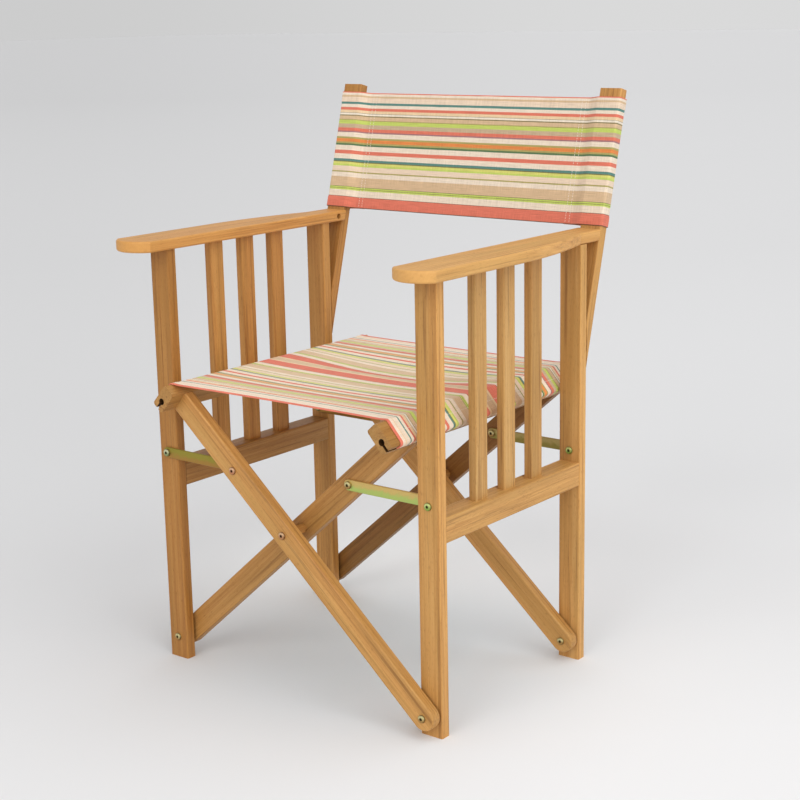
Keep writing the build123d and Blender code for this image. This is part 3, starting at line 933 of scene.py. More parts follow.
@dataclass(frozen=True)
class PathPoint:
    """A point of a cloth's section: its place, its outward normal, its length along and its bulk at a hem."""

    place: Vector
    normal: Vector
    length: float
    bulk: float


@dataclass(frozen=True)
class RunPoint:
    """A point of a cloth's run: its place, a turned hem's drop, the share of hem and its length along."""

    place: float
    drop: float
    hem: float
    length: float


Corner = tuple[float, float, float, float]


def rounded_corner(before: Corner, here: Corner, after: Corner) -> list[Vector]:
    """Rounds one corner of a line.

    Args:
        before: The corner before it.
        here: The corner, with its radius.
        after: The corner after it.

    Returns:
        Points round the corner, or the corner itself where the line runs straight on.
    """
    point, radius = Vector(here[:2]), here[2]
    back = (Vector(before[:2]) - point).normalized()
    ahead = (Vector(after[:2]) - point).normalized()
    half = back.angle(ahead) / 2
    if math.pi / 2 - half < STRAIGHT:
        return [point]
    reach = radius / math.tan(half)
    centre = point + (back + ahead).normalized() * (radius / math.sin(half))
    start, end = point + back * reach - centre, point + ahead * reach - centre
    pieces = max(2, round((math.pi - 2 * half) / ARC_STEP))
    swing = start.angle_signed(end)
    return [centre + Matrix.Rotation(-swing * index / pieces, 2) @ start for index in range(pieces + 1)]


def rounded_path(corners: Sequence[Corner], step: float) -> list[PathPoint]:
    """Follows a line of straight runs with rounded corners.

    Args:
        corners: Places in the section, each with its radius and its bulk.
        step: The longest straight piece.

    Returns:
        Points along the line. The normal is on the left of the way.
    """
    spots: list[tuple[Vector, float]] = [(Vector(corners[0][:2]), corners[0][3])]
    for before, here, after in zip(corners, corners[1:], corners[2:]):
        spots += [(spot, here[3]) for spot in rounded_corner(before, here, after)]
    spots.append((Vector(corners[-1][:2]), corners[-1][3]))
    fine: list[tuple[Vector, float]] = [spots[0]]
    for (start, bulk), (end, next_bulk) in zip(spots, spots[1:]):
        count = max(1, math.ceil((end - start).length / step))
        for index in range(1, count + 1):
            fine.append((start.lerp(end, index / count), bulk + (next_bulk - bulk) * index / count))
    made, length = [], 0.0
    for index, (spot, bulk) in enumerate(fine):
        last, following = fine[max(0, index - 1)][0], fine[min(len(fine) - 1, index + 1)][0]
        way = (following - last).normalized()
        length += (spot - last).length
        made.append(PathPoint(spot, Vector((-way.y, way.x)), length, bulk))
    return made


def plain_run(start: float, end: float, step: float) -> list[RunPoint]:
    """Runs from one cut edge to the other.

    Args:
        start: The first edge.
        end: The last edge.
        step: The longest piece.

    Returns:
        Points along the run.
    """
    count = math.ceil((end - start) / step)
    places = [start + (end - start) * index / count for index in range(count + 1)]
    return [RunPoint(place, 0.0, 0.0, place - start) for place in places]


def hemmed_run(start: float, end: float, hem: float, pitch: float, step: float) -> list[RunPoint]:
    """Runs from a turned hem to another.

    Args:
        start: The first folded edge.
        end: The last folded edge.
        hem: The width that is turned under.
        pitch: The distance between the two layers.
        step: The longest piece.

    Returns:
        Points from under the first hem, over the cloth and under the last hem.
    """
    radius, under, folds, fades = pitch / 2, 3, 6, 3
    half: list[RunPoint] = []
    for index in range(under + 1):
        out = hem - (hem - radius) * index / under
        half.append(RunPoint(out, pitch, 1.0, -out))
    for index in range(1, folds):
        angle = -math.pi / 2 + math.pi * index / folds
        out, drop = radius * (1 - math.cos(angle)), radius * (1 - math.sin(angle))
        half.append(RunPoint(out, drop, 1.0, radius * angle / 2))
    for out in (radius, hem * 0.5, hem):
        half.append(RunPoint(out, 0.0, 1.0, out))
    for index in range(1, fades + 1):
        out = hem + HEM_FADE * index / fades
        half.append(RunPoint(out, 0.0, 1 - smooth(out, hem, hem + HEM_FADE), out))
    inner = half[-1].place
    span = end - start
    count = math.ceil((span - 2 * inner) / step)
    middle = []
    for index in range(1, count):
        out = inner + (span - 2 * inner) * index / count
        middle.append(RunPoint(out, 0.0, 0.0, out))
    other = [RunPoint(span - p.place, p.drop, p.hem, span - p.length) for p in reversed(half)]
    return [RunPoint(start + p.place, p.drop, p.hem, p.length) for p in half + middle + other]


Placer = Callable[[PathPoint, RunPoint], Vector]


def sole_selection(piece: Optional[bpy.types.Object] = None) -> None:
    """Deselects everything, then selects one piece if it is given.

    Args:
        piece: The piece that is to be selected and active.
    """
    bpy.ops.object.select_all(action="DESELECT")
    if piece is not None:
        piece.select_set(True)
        bpy.context.view_layer.objects.active = piece


def woven_sheet(name: str, path: Sequence[PathPoint], run: Sequence[RunPoint], placer: Placer,
                thick: float) -> bpy.types.Object:
    """Makes a sheet from a grid that follows a section and a run, and gives it a thickness.

    Args:
        name: The piece's name.
        path: Points across the cloth.
        run: Points from edge to edge.
        placer: Gives a place for a point of each.
        thick: The cloth's thickness.

    Returns:
        The finished sheet, with its flat lengths as a UV map.
    """
    columns, rows = len(path) - 1, len(run) - 1
    sole_selection()
    bpy.ops.mesh.primitive_grid_add(x_subdivisions=columns, y_subdivisions=rows, size=1.0)
    piece = bpy.context.object
    piece.name = piece.data.name = name
    mesh = piece.data
    mesh.uv_layers[0].name = CLOTH_UV
    keys = [(round((v.co.x + 0.5) * columns), round((v.co.y + 0.5) * rows)) for v in mesh.vertices]
    for vertex, (column, row) in zip(mesh.vertices, keys):
        vertex.co = placer(path[column], run[row])
    flat = mesh.uv_layers[CLOTH_UV].data
    for loop in mesh.loops:
        column, row = keys[loop.vertex_index]
        flat[loop.index].uv = (path[column].length, run[row].length)
    mesh.update()
    shell = piece.modifiers.new("thickness", "SOLIDIFY")
    shell.thickness, shell.offset, shell.use_even_offset = thick, 0.0, False
    sole_selection(piece)
    bpy.ops.object.modifier_apply(modifier=shell.name)
    bpy.ops.object.mode_set(mode="EDIT")
    bpy.ops.mesh.select_all(action="SELECT")
    bpy.ops.mesh.normals_make_consistent(inside=False)
    bpy.ops.object.mode_set(mode="OBJECT")
    bpy.ops.object.shade_smooth_by_angle(angle=CREASE)
    return piece


@dataclass
class Stitching:
    """Rows of short stitches that stand a little proud of the cloth."""

    stitch: float = 3.0 * MM
    pitch: float = 4.2 * MM
    radius: float = 0.36 * MM
    # The shape of one stitch: its bar, its drawn-in ends, and how squarely an end face looks along it
    sides: int = 6
    bar_share: float = 0.7
    end_share: float = 0.15
    end_drop: float = 0.6
    end_size: float = 0.45
    end_facing: float = 0.9

    def single(self) -> bpy.types.Mesh:
        """Shapes one stitch along X from a bar with drawn-in ends.

        Returns:
            The stitch's mesh.
        """
        sole_selection()
        bpy.ops.mesh.primitive_cylinder_add(vertices=self.sides, radius=self.radius,
                                            depth=self.stitch * self.bar_share, rotation=(0, math.pi / 2, 0))
        bar = bpy.context.object
        bpy.ops.object.transform_apply(location=True, rotation=True, scale=True)
        bpy.ops.object.mode_set(mode="EDIT")
        for end in (-1, 1):
            shape = bmesh.from_edit_mesh(bar.data)
            for face in shape.faces:
                face.select_set(face.normal.x * end > self.end_facing)
            shape.select_flush_mode()
            bmesh.update_edit_mesh(bar.data)
            shift = (end * self.stitch * self.end_share, 0, -self.radius * self.end_drop)
            bpy.ops.mesh.extrude_region_move(TRANSFORM_OT_translate={"value": shift})
            bpy.ops.transform.resize(value=(1.0, self.end_size, self.end_size))
        bpy.ops.object.mode_set(mode="OBJECT")
        mesh = bar.data
        bpy.data.objects.remove(bar)
        return mesh

    def row(self, name: str, spots: Iterable[Matrix]) -> bpy.types.Object:
        """Copies the stitch to each place of a row.

        Args:
            name: The piece's name.
            spots: A placing of each stitch, X along the row and Z out of the cloth.

        Returns:
            The row.
        """
        single = self.single()
        joined = bmesh.new()
        for spot in spots:
            count = len(joined.verts)
            joined.from_mesh(single)
            joined.verts.ensure_lookup_table()
            bmesh.ops.transform(joined, matrix=spot, verts=joined.verts[count:])
        bmesh.ops.recalc_face_normals(joined, faces=joined.faces)
        mesh = bpy.data.meshes.new(name)
        joined.to_mesh(mesh)
        joined.free()
        bpy.data.meshes.remove(single)
        mesh.shade_smooth()
        piece = bpy.data.objects.new(name, mesh)
        bpy.context.scene.collection.objects.link(piece)
        return piece

    def places(self, start: float, end: float) -> list[float]:
        """Spaces the stitches' middles evenly from start to end."""
        count = max(1, round((end - start) / self.pitch))
        return [start + (end - start) * (index + 0.5) / count for index in range(count)]


def placing(origin: Vector, along: Vector, out: Vector) -> Matrix:
    """Makes a placing from a point, the way along a row and the way out of the cloth.

    Args:
        origin: The point.
        along: The way that becomes X.
        out: The way that becomes Z.

    Returns:
        The placing as a matrix.
    """
    x, z = along.normalized(), out.normalized()
    made = Matrix((x, z.cross(x), z)).transposed().to_4x4()
    made.translation = origin
    return made


@dataclass
class SeatCloth:
    """The seat: a taut cloth round both rails, with turned hems front and rear and a pocket for each rod."""

    # The rails' section
    half_thick: float = 11 * MM
    half_width: float = 20 * MM
    rail_round: float = 4 * MM
    # The cloth's section, from the slots over the rails, and the longest pieces of its mesh
    slot_depth: float = 1.6 * MM
    slot_round: float = 0.5 * MM
    shoulder: float = 14 * MM
    shoulder_round: float = 1 * MM
    section_step: float = 6 * MM
    run_step: float = 4.5 * MM
    # The pockets round the rods
    pocket_radius: float = 3.3 * MM
    pocket_start: float = 1.7 * MM
    pocket_inset: float = 1 * MM
    pocket_corner: float = 0.01 * MM
    pocket_turns: int = 22
    pocket_step: float = 4 * MM
    pocket_run: float = 12 * MM
    # The cloth, its hems and its seams
    off: float = 0.75 * MM
    thick: float = 0.8 * MM
    pitch: float = 0.85 * MM
    hem: float = 11 * MM
    hem_seam: float = 2 * MM
    rail_seam: float = -1.5 * MM
    rail_margin: float = 6 * MM
    front: float = -239.27 * MM
    rear: float = 201.73 * MM
    # How the cloth hangs: an even dip, ripples, drawn-in edges and a hollow
    dip: float = 3.5 * MM
    ripple: float = 0.7 * MM
    ripple_waves: tuple[float, float] = (9.0, 16.0)
    ripple_seed: float = 3.1
    draw: float = 3.0 * MM
    skew: float = 6.5 * MM
    stripe_shift: float = 1.5 * MM
    edge_reach: float = 130 * MM
    hollow: float = 7.0 * MM
    hollow_sides: tuple[float, float] = (-0.1, 0.45)
    hollow_front: tuple[float, float] = (-25 * MM, 15 * MM)
    hollow_rear: tuple[float, float] = (27 * MM, 122 * MM)
    bodies: tuple[str, str] = ("cross_a", "cross_b")
    stitching: Stitching = field(default_factory=Stitching)

    def on_rail(self, p: float, q: float, side: int) -> Vector:
        """Turns a place in a rail's own section into the chair's X and Z.

        Args:
            p: Place across the rail's thickness.
            q: Place across its width.
            side: -1 for the left rail, 1 for the right one.

        Returns:
            X and Z.
        """
        x = RAIL_X + p * math.cos(RAIL_TILT) - q * math.sin(RAIL_TILT)
        z = RAIL_Z + p * math.sin(RAIL_TILT) + q * math.cos(RAIL_TILT)
        return Vector((side * x, z))

    def crown(self) -> Vector:
        """Gives the middle of the right rail's upper rounding, which the cloth goes over."""
        return self.on_rail(self.half_thick - self.rail_round, self.half_width - self.rail_round, 1)

    def section(self) -> list[PathPoint]:
        """Follows the cloth from the left slot over both rails to the right slot.

        Returns:
            The section, with its normals outwards.
        """
        turn = self.rail_round + self.off
        outer, low = self.half_thick + self.off, -self.half_width - self.off
        slot = self.pitch / 2
        level, inner = self.crown().y + turn, self.crown().x - self.shoulder
        rise = (level - RAIL_Z - outer * math.sin(RAIL_TILT)) / math.cos(RAIL_TILT)
        half = [(slot, low + self.slot_depth, 0.0, 0.0), (slot, low, self.slot_round, 0.0),
                (outer, low, turn, 1.0), (outer, rise, turn, 1.0)]
        left, right = ([(*self.on_rail(p, q, side), radius, bulk) for p, q, radius, bulk in half]
                       for side in (-1, 1))
        top = [(x, level, self.shoulder_round, 0.0) for x in (-inner, inner)]
        return rounded_path(left + top + right[::-1], self.section_step)

    def sag(self, x: float, y: float) -> float:
        """Gives how far the cloth hangs below the line between the rails.

        Args:
            x: Place from side to side.
            y: Place from front to rear.

        Returns:
            The depth there.
        """
        half = self.crown().x
        if abs(x) >= half:
            return 0.0
        even = 1 - (x / half) ** 2
        left, right = self.hollow_sides
        side = smooth(x, -half, left * half) * (1 - smooth(x, right * half, half))
        valley = smooth(y, *self.hollow_front) * (1 - smooth(y, *self.hollow_rear))
        ripple = unevenness(x, y, self.ripple_waves, self.ripple_seed) * self.ripple * even
        taut = 1 - max(self.nearness(y, self.front), self.nearness(y, self.rear))
        return self.dip * even * taut + self.hollow * side * valley + ripple * taut

    def nearness(self, y: float, edge: float) -> float:
        """Gives 1 at a free edge of the cloth, falling to 0 well inside it."""
        return 1 - smooth(abs(y - edge), 0.0, self.edge_reach)

    def drawn(self, x: float, y: float) -> float:
        """Gives how far the free edges are drawn in between the rails, with the front edge askew.

        Args:
            x: Place from side to side.
            y: Place from front to rear.

        Returns:
            The shift to the rear.
        """
        half = self.crown().x
        even, aside = max(0.0, 1 - (x / half) ** 2), min(1.0, max(0.0, 0.5 - x / half / 2))
        near, back = self.nearness(y, self.front), self.nearness(y, self.rear)
        return self.draw * even * (near - back) - self.skew * aside * near

    def place(self, point: PathPoint, run: RunPoint) -> Vector:
        """Places a point of the cloth.

        Args:
            point: Its point in the section.
            run: Its point from front to rear.

        Returns:
            The place in the chair's frame.
        """
        spot = point.place + point.normal * (point.bulk * run.hem * self.pitch - run.drop)
        x, y = point.place.x, run.place
        return Vector((spot.x, y + self.drawn(x, y), spot.y - self.sag(x, y)))

    def pocket_section(self, side: int) -> list[PathPoint]:
        """Follows a hem's pocket from the slot round the rod and back.

        Args:
            side: -1 for the left rail, 1 for the right one.

        Returns:
            The section.
        """
        slot, radius = self.pitch / 2, self.pocket_radius
        low = self.pocket_start - self.half_width - self.off
        reach = math.asin(slot / radius)
        points = [(slot, low)]
        for index in range(self.pocket_turns + 1):
            angle = -math.pi / 2 + reach + (2 * math.pi - 2 * reach) * index / self.pocket_turns
            points.append((radius * math.cos(angle), KEYHOLE_LEVEL + radius * math.sin(angle)))
        points.append((-slot, low))
        corners = [(*self.on_rail(p, q, side), self.pocket_corner, 0.0) for p, q in points]
        return rounded_path(corners, self.pocket_step)

    def pocket_place(self, point: PathPoint, run: RunPoint) -> Vector:
        """Places a point of a pocket."""
        return Vector((point.place.x, run.place, point.place.y))

    def blend(self, piece: bpy.types.Object) -> bpy.types.Object:
        """Bakes a piece's placing into its mesh."""
        reach, level = self.crown().x - self.rail_round, self.crown().y
        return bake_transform(piece)

    def hem_rows(self) -> list[bpy.types.Object]:
        """Sews both hems, on the upper face between the rails' crowns.

        Returns:
            The front row and the rear row.
        """
        rows, up = [], Vector((0, 0, 1))
        span, level = self.crown().x, self.crown().y + self.rail_round + self.off
        inset = self.hem - self.hem_seam
        for name, y in (("front", self.front + inset), ("rear", self.rear - inset)):
            run, spots = RunPoint(y, 0.0, 1.0, 0.0), []
            for x in self.stitching.places(-span, span):
                here, ahead = (self.place(PathPoint(Vector((spot, level)), Vector((0, 1)), 0.0, 0.0), run)
                               for spot in (x, x + MM))
                spots.append(placing(here + up * self.thick / 2, ahead - here, up))
            rows.append(self.stitching.row(f"seat_stitches_{name}", spots))
        return rows

    def rail_row(self, side: int, name: str) -> bpy.types.Object:
        """Sews a pocket's seam along the outer face of a rail.

        Args:
            side: -1 for the left rail, 1 for the right one.
            name: The side's name.

        Returns:
            The row.
        """
        outer = self.half_thick + self.off + self.thick / 2
        foot, head = (self.on_rail(p, self.rail_seam, side) for p in (outer, outer + MM))
        out = Vector((head.x - foot.x, 0, head.y - foot.y))
        margin = self.hem + self.rail_margin
        spots = [placing(Vector((foot.x, y, foot.y)), Vector((0, 1, 0)), out)
                 for y in self.stitching.places(self.front + margin, self.rear - margin)]
        return self.stitching.row(f"seat_seam_{name}", spots)

    def build(self, canvas: bpy.types.Material, thread: bpy.types.Material) -> None:
        """Makes the seat's cloth, pockets and stitches.

        Args:
            canvas: The cloth's material.
            thread: The stitches' material.
        """
        path = self.section()
        run = hemmed_run(self.front, self.rear, self.hem, self.pitch, self.run_step)
        cloth = woven_sheet("seat_cloth", path, run, self.place, self.thick)
        paint(cloth, canvas)
        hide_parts("seat_sling")
        self.blend(cloth)
        extras, pocket_length = [], 0.0
        pocket_run = plain_run(self.front + self.pocket_inset, self.rear - self.pocket_inset, self.pocket_run)
        for side, name, body in ((-1, "left", self.bodies[0]), (1, "right", self.bodies[1])):
            section = self.pocket_section(side)
            pocket_length += section[-1].length
            pocket = woven_sheet(f"seat_pocket_{name}", section, pocket_run, self.pocket_place, self.thick)
            paint(pocket, canvas)
            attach(pocket, body)
            seam = self.rail_row(side, name)
            paint(seam, thread)
            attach(seam, body)
            extras += [pocket, seam]
        for row in self.hem_rows():
            paint(row, thread)
            self.blend(row)
            extras.append(row)
        flat = (path[-1].length + pocket_length, self.rear - self.front + 2 * self.hem)
        LOG.info("seat cloth: flat %.3f by %.3f m, with pockets %.3f m", flat[0], flat[1], pocket_length)


@dataclass
class BackCloth:
    """The back: a panel between two sleeves that slip over the posts, each sewn down with a double row."""

    # The posts: Y and Z of their front upper edge, and their section
    top_y: float = 251.36 * MM
    top_z: float = 869.98 * MM
    post_inner: float = 231.5 * MM
    post_outer: float = 268.5 * MM
    post_depth: float = 17.5 * MM
    post_round: float = 2.5 * MM
    # The cloth: what it leaves of the posts' tops, its height, hems, seams, flaps and tucked ends
    cap: float = 13.5 * MM
    height: float = 192.5 * MM
    off: float = 0.8 * MM
    thick: float = 0.8 * MM
    pitch: float = 0.85 * MM
    hem: float = 14 * MM
    seam: float = 212.5 * MM
    flap: float = 196.5 * MM
    tuck: float = 222 * MM
    setback: float = 7.5 * MM
    # Roundings of its section, and the longest pieces of its mesh
    seam_round: float = 6 * MM
    inner_round: float = 5 * MM
    sleeve_step: float = 7 * MM
    joggle: float = 0.9 * MM
    joggle_round: float = 0.3 * MM
    panel_step: float = 9 * MM
    run_step: float = 6 * MM
    # Unevenness of the panel, and the two rows of stitches
    slack_depth: float = 1.4 * MM
    slack_waves: tuple[float, float] = (7.0, 22.0)
    slack_seed: float = 1.7
    rows: tuple[float, float] = (206.5 * MM, 199.5 * MM)
    row_margin: float = 2 * MM
    # The joints between the two posts, and the slack that is left when the chair is folded
    joint: str = "fold"
    followers: tuple[str, str] = ("cross_pivot", "right_foot")
    spare: float = 11 * MM
    stitching: Stitching = field(default_factory=Stitching)

    def world(self, x: float, depth: float, down: float) -> Vector:
        """Places a point of the back.

        Args:
            x: From side to side.
            depth: Square to the posts, to the rear.
            down: Along the posts, below the cloth's upper edge.

        Returns:
            The place in the chair's frame.
        """
        rise = -self.cap - down
        return Vector((x, self.top_y + depth * math.cos(POST_LEAN) + rise * math.sin(POST_LEAN),
                       self.top_z - depth * math.sin(POST_LEAN) + rise * math.cos(POST_LEAN)))

    def slack(self, x: float, down: float) -> float:
        """Gives a little unevenness to the panel, nothing at the seams."""
        share = max(0.0, 1 - (x / self.seam) ** 2)
        return unevenness(x, down, self.slack_waves, self.slack_seed) * self.slack_depth * share

    def place(self, point: PathPoint, run: RunPoint) -> Vector:
        """Places a point of a sleeve or of the panel."""
        spot = point.place + point.normal * (point.bulk * run.hem * self.pitch - run.drop)
        return self.world(spot.x, spot.y + self.slack(spot.x, run.place), run.place)

    def section(self, corners: Sequence[Corner], step: float) -> list[PathPoint]:
        """Follows corners given by their X and by their depth behind the posts' front.

        Args:
            corners: Places in the section, each with its radius and its bulk.
            step: The longest straight piece.

        Returns:
            The section, with its normals on the right of the way.
        """
        path = rounded_path([(x, -depth, radius, bulk) for x, depth, radius, bulk in corners], step)
        mirror = Vector((1, -1))
        return [PathPoint(p.place * mirror, p.normal * mirror, p.length, p.bulk) for p in path]

    def sleeve_section(self, side: int) -> list[PathPoint]:
        """Follows a sleeve from its front flap round the post to its rear flap.

        Args:
            side: -1 for the left post, 1 for the right one.

        Returns:
            The section, with its normals outwards.
        """
        front, rear = -self.off, self.post_depth + self.off
        outer = self.post_outer + self.off
        lap = self.setback + 2 * self.pitch
        turn = self.post_round + self.off
        corners = [(self.flap, self.setback, 0.0, 0.0), (self.seam, self.setback, self.seam_round, 0.0),
                   (self.post_inner, front, self.inner_round, 0.6), (outer, front, turn, 1.0),
                   (outer, rear, turn, 1.0), (self.post_inner, rear, self.inner_round, 1.0),
                   (self.seam, lap, self.seam_round, 3.0), (self.flap, lap, 0.0, 3.0)]
        if side < 0:
            corners = [(-x, depth, radius, bulk) for x, depth, radius, bulk in reversed(corners)]
        return self.section(corners, self.sleeve_step)

    def panel_section(self) -> list[PathPoint]:
        """Follows the panel from one tucked end to the other, with its normals to the front.

        Returns:
            The section.
        """
        tucked = self.setback + self.pitch
        half = [(self.tuck, tucked, 0.0, -1.0), (self.flap + self.joggle, tucked, self.joggle_round, -1.0),
                (self.flap, self.setback, self.joggle_round, 0.0)]
        left = [(-x, depth, radius, bulk) for x, depth, radius, bulk in half]
        return self.section(left + half[::-1], self.panel_step)

    def fold_travel(self) -> tuple[Vector, Vector, float]:
        """Works out how the right seam comes towards the left one as the chair folds.

        Returns:
            The direction, the fixed point at the left seam and the share of the width that is kept.
        """
        joints = {joint["name"]: joint for joint in frame["joints"]}
        shares = {row["joint"]: row["ratio"] for row in frame["record"]["behaviour"]["couplings"]}
        reach = math.radians(max(joints[self.joint]["range_deg"], key=abs))
        turn = Matrix.Identity(4)
        for name in (self.joint, *self.followers):
            spot = Vector(joints[name]["pos_m"])
            swing = Matrix.Rotation(reach * shares.get(name, 1.0), 4, Vector(joints[name]["axis"]))
            turn = turn @ Matrix.Translation(spot) @ swing @ Matrix.Translation(-spot)
        middle = self.world(self.flap, self.setback, self.height / 2)
        anchor = self.world(-self.flap, self.setback, self.height / 2)
        travel = turn @ middle - middle
        way = -travel.normalized()
        keep = 1 - (travel.length - self.spare) / way.dot(middle - anchor)
        return way, anchor, keep

    def stitch_rows(self, side: int, name: str) -> bpy.types.Object:
        """Sews a sleeve's double row, seen on the front and on the rear.

        Args:
            side: -1 for the left sleeve, 1 for the right one.
            name: The side's name.

        Returns:
            The rows as one piece.
        """
        spots = []
        rear = self.setback + 2 * self.pitch
        for x in self.rows:
            for down in self.stitching.places(self.row_margin, self.height - self.row_margin):
                edge = min(down, self.height - down)
                hem = 1 - smooth(edge, self.hem, self.hem + HEM_FADE)
                faces = ((self.setback - self.thick / 2, -1),
                         (rear + 3 * hem * self.pitch + self.thick / 2, 1))
                for depth, out in faces:
                    depth += self.slack(x, down)
                    here, under = self.world(side * x, depth, down), self.world(side * x, depth, down + MM)
                    outward = self.world(side * x, depth + out * MM, down) - here
                    spots.append(placing(here, under - here, outward))
        return self.stitching.row(f"back_stitches_{name}", spots)

    def build(self, canvas: bpy.types.Material, thread: bpy.types.Material) -> None:
        """Makes the back's sleeves, panel and stitches.

        Args:
            canvas: The cloth's material.
            thread: The stitches' material.
        """
        run = hemmed_run(0.0, self.height, self.hem, self.pitch, self.run_step)
        panel = woven_sheet("back_panel", self.panel_section(), run, self.place, self.thick)
        paint(panel, canvas)
        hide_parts("back_sling")
        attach(panel, "left_frame")
        way, anchor, keep = self.fold_travel()
        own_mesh(panel)
        tall = self.height + 2 * self.hem
        LOG.info("back panel: flat %.3f by %.3f m, kept %.3f when folded", 2 * self.tuck, tall, keep)
        for side, name in ((-1, "left"), (1, "right")):
            section = self.sleeve_section(side)
            sleeve = woven_sheet(f"back_sleeve_{name}", section, run, self.place, self.thick)
            paint(sleeve, canvas)
            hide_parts("back_sling")
            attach(sleeve, f"{name}_frame")
            stitches = self.stitch_rows(side, name)
            paint(stitches, thread)
            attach(stitches, f"{name}_frame")
            LOG.info("back sleeve %s: flat %.3f by %.3f m", name, section[-1].length, tall)


@dataclass
class Studio:
    """A pale floor, soft lamps and the camera of the photograph."""

    # The camera, with its focal length and its picture in pixels and its sensor in millimetres
    camera_place: Place = (1.54024, -1.89298, 0.98750)
    camera_turn: float = 0.6711
    camera_tip: float = -0.2332
    camera_roll: float = -0.0191
    focal_pixels: float = 1637.6
    frame_pixels: float = 800.0
    sensor: float = 36.0
    # The floor, and linear factors for the painted shade under the chair, a painted pool of light and a painted
    # glow of light beside it
    floor_size: float = 120.0
    floor_cells: int = 20
    fade_reach: float = 20.0
    side_reach: tuple[float, float] = (-0.22, 0.16)
    under_reach: tuple[float, float] = (0.05, 0.45)
    under_tint: Colour = (0.89, 0.95, 0.98, 1.0)
    pool_reach: tuple[float, float] = (0.30, 0.85)
    pool_light_tint: Colour = (1.02, 1.03, 1.036, 1.0)
    glow_place: tuple[float, float] = (-0.29, 0.25)
    glow_reach: tuple[float, float] = (0.08, 0.44)
    glow_light_tint: Colour = (1.15, 1.15, 1.14, 1.0)
    # Greys of the floor by the distance from the camera, on the left and on the right
    left_greys: tuple[tuple[float, float], ...] = (
        (1.6, 237), (2.1, 231), (2.6, 221), (4.1, 215), (6.8, 211), (17.0, 205), (20.0, 203))
    right_greys: tuple[tuple[float, float], ...] = (
        (1.6, 245), (2.1, 241), (2.6, 231), (4.1, 225), (6.8, 220), (17.0, 217), (20.0, 216))
    # Light of the world, and lamps by name, direction, width in degrees and strength
    backdrop_gain: float = 1.017
    sky: Colour = (0.50, 0.50, 0.51, 1.0)
    lamps: tuple[tuple[str, Place, float, float], ...] = (
        ("top", (0.2, 0.3, 1.0), 60.0, 0.58), ("right", (1.2, -0.5, 0.8), 60.0, 1.4),
        ("front", (0.05, -1.0, 0.5), 36.0, 0.80))

    def greys(self, finish: Finish, share: Wire, stops: Sequence[tuple[float, float]]) -> Wire:
        """Fades from one grey to the next over the distance from the camera's place."""
        return finish.ramp(share, [(far / self.fade_reach, linear((grey,) * 3)) for far, grey in stops])

    def floor(self) -> None:
        """Lays the floor, paler in front and to the right."""
        sole_selection()
        bpy.ops.mesh.primitive_grid_add(x_subdivisions=self.floor_cells, y_subdivisions=self.floor_cells,
                                        size=self.floor_size)
        floor = bpy.context.object
        floor.name = "studio_floor"
        finish = Finish(bpy.data.materials.new("studio_floor"))
        spot = finish.spot()
        x = finish.axis(spot, "X")
        y = finish.axis(spot, "Y")
        sine, cosine = math.sin(self.camera_turn), math.cos(self.camera_turn)
        start = self.camera_place[1] * cosine - self.camera_place[0] * sine
        share = (y * cosine - x * sine - start) / self.fade_reach
        far = (share * share * self.fade_reach ** 2 + 1).root()
        sideways = finish.reach((x * cosine + y * sine) / far, *self.side_reach)
        colour = finish.mix(sideways, self.greys(finish, share, self.left_greys),
                            self.greys(finish, share, self.right_greys))
        outward = finish.node("ShaderNodeVectorMath", {"operation": "LENGTH"}, {0: spot}, "Value")
        away_x, away_y = x - self.glow_place[0], y - self.glow_place[1]
        aside = (away_x * away_x + away_y * away_y).root()
        # Painted shade under the chair, a painted pool of light round it and a painted glow of light beside it
        for off, reach, tint in ((outward, self.pool_reach, self.pool_light_tint),
                                 (outward, self.under_reach, self.under_tint),
                                 (aside, self.glow_reach, self.glow_light_tint)):
            colour = finish.mix(1 - finish.reach(off, *reach), colour, tint, "MULTIPLY")
        paint(floor, finish.close({"Base Color": colour, "Roughness": 0.9, "Specular IOR Level": 0.1}))

    def world(self) -> None:
        """Sets the light from all round, and the tone seen behind the chair."""
        world = bpy.data.worlds.new("studio")
        bpy.context.scene.world = world
        finish = Finish(world)
        camera, glossy, through = (finish.node("ShaderNodeLightPath", None, None, f"Is {kind} Ray")
                                   for kind in ("Camera", "Glossy", "Transmission"))
        seen = camera + glossy + through
        way = finish.node("ShaderNodeTexCoord", None, None, "Generated")
        x = finish.axis(way, "X")
        y = finish.axis(way, "Y")
        across = x * math.cos(self.camera_turn) + y * math.sin(self.camera_turn)
        left, right = (linear((stops[-1][1],) * 3, self.backdrop_gain)
                       for stops in (self.left_greys, self.right_greys))
        backdrop = finish.mix(finish.reach(across, *self.side_reach), left, right)
        colour = finish.mix(seen, self.sky, backdrop)
        glow = finish.node("ShaderNodeBackground", None, {"Color": colour, "Strength": 1.0})
        finish.node("ShaderNodeOutputWorld", None, {"Surface": glow})

    def lamp(self, name: str, place: Place, spread: float, strength: float) -> None:
        """Hangs a wide soft lamp, far enough away to light the floor evenly.

        Args:
            name: The lamp's name.
            place: The direction that the light comes from.
            spread: How wide the lamp looks, in degrees.
            strength: Its light in watts on a square metre.
        """
        data = bpy.data.lights.new(name, "SUN")
        data.angle, data.energy = math.radians(spread), strength
        lamp = bpy.data.objects.new(name, data)
        lamp.rotation_euler = (-Vector(place)).to_track_quat("-Z", "Y").to_euler()
        bpy.context.scene.collection.objects.link(lamp)

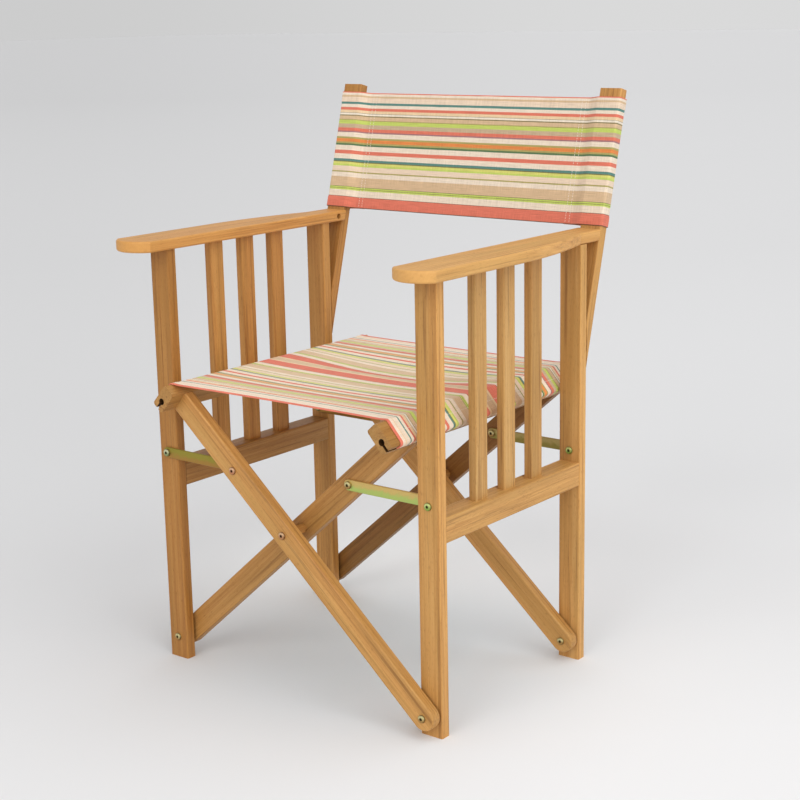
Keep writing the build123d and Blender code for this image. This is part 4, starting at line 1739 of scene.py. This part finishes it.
    def camera(self) -> None:
        """Sets the camera as the photograph was taken."""
        turn, tip, roll = self.camera_turn, self.camera_tip, self.camera_roll
        ahead = Vector((-math.sin(turn) * math.cos(tip), math.cos(turn) * math.cos(tip), math.sin(tip)))
        level = Vector((math.cos(turn), math.sin(turn), 0))
        above = level.cross(ahead)
        right = level * math.cos(roll) + above * math.sin(roll)
        up = above * math.cos(roll) - level * math.sin(roll)
        data = bpy.data.cameras.new("camera")
        data.sensor_width = self.sensor
        data.lens = self.focal_pixels / self.frame_pixels * self.sensor
        camera = bpy.data.objects.new("camera", data)
        placed = Matrix((right, up, -ahead)).transposed().to_4x4()
        placed.translation = Vector(self.camera_place)
        camera.matrix_world = placed
        bpy.context.scene.collection.objects.link(camera)
        bpy.context.scene.camera = camera

    def build(self) -> None:
        """Sets up the whole studio."""
        bpy.context.scene.view_settings.view_transform = "Standard"
        self.camera()
        self.world()
        self.floor()
        for lamp in self.lamps:
            self.lamp(*lamp)
        LOG.info("studio: floor, three lamps, camera")


def seat_bands() -> Bands:
    """Gives the seat's stripes from its front edge to its middle, where they turn back.

    Returns:
        Yarns and widths in millimetres.
    """
    widened = 1.10
    edge = ((Yarn.CORAL, 3.8), (Yarn.CREAM, 6.2), (Yarn.STRAW, 2.0), (Yarn.CREAM, 9.5), (Yarn.TEAL, 2.8),
            (Yarn.CREAM, 5.0), (Yarn.CORAL, 3.8))
    body = tuple((yarn, width * widened) for yarn, width in STRIPES[len(edge):-2])
    middle = ((Yarn.CORAL, 5.5), (Yarn.STRAW, 5.0), (Yarn.TAN, 8.0))
    return edge + body + middle


def main() -> None:
    """Builds the studio, dresses the solids and makes the cloth."""
    logging.basicConfig(level=logging.INFO, format="%(name)s: %(message)s")
    Studio().build()
    Timbers().dress()
    Hardware().dress()
    thread = SewingThread("sewing_thread").material()
    seat = SeatCloth()
    span = (seat.rear - seat.front) / 2 - seat.stripe_shift
    top = (seat.section()[-1].length / 2, seat.crown().x)
    # The seat's canvas: painted sheen pales its upper side, and its gain paints it brighter, as painted light
    seat_canvas = StripedCanvas("canvas_seat", seat_bands(), span, mirrored=True, sheen_paling=0.25, gain=1.06,
                                top=top)
    seat.build(seat_canvas.material(), thread)
    back = BackCloth()
    # The back's canvas is made darker by its gain, as painted shade
    back_canvas = StripedCanvas("canvas_back", STRIPES, back.height, gain=0.94)
    back.build(back_canvas.material(), thread)


if __name__ == "__main__":
    main()
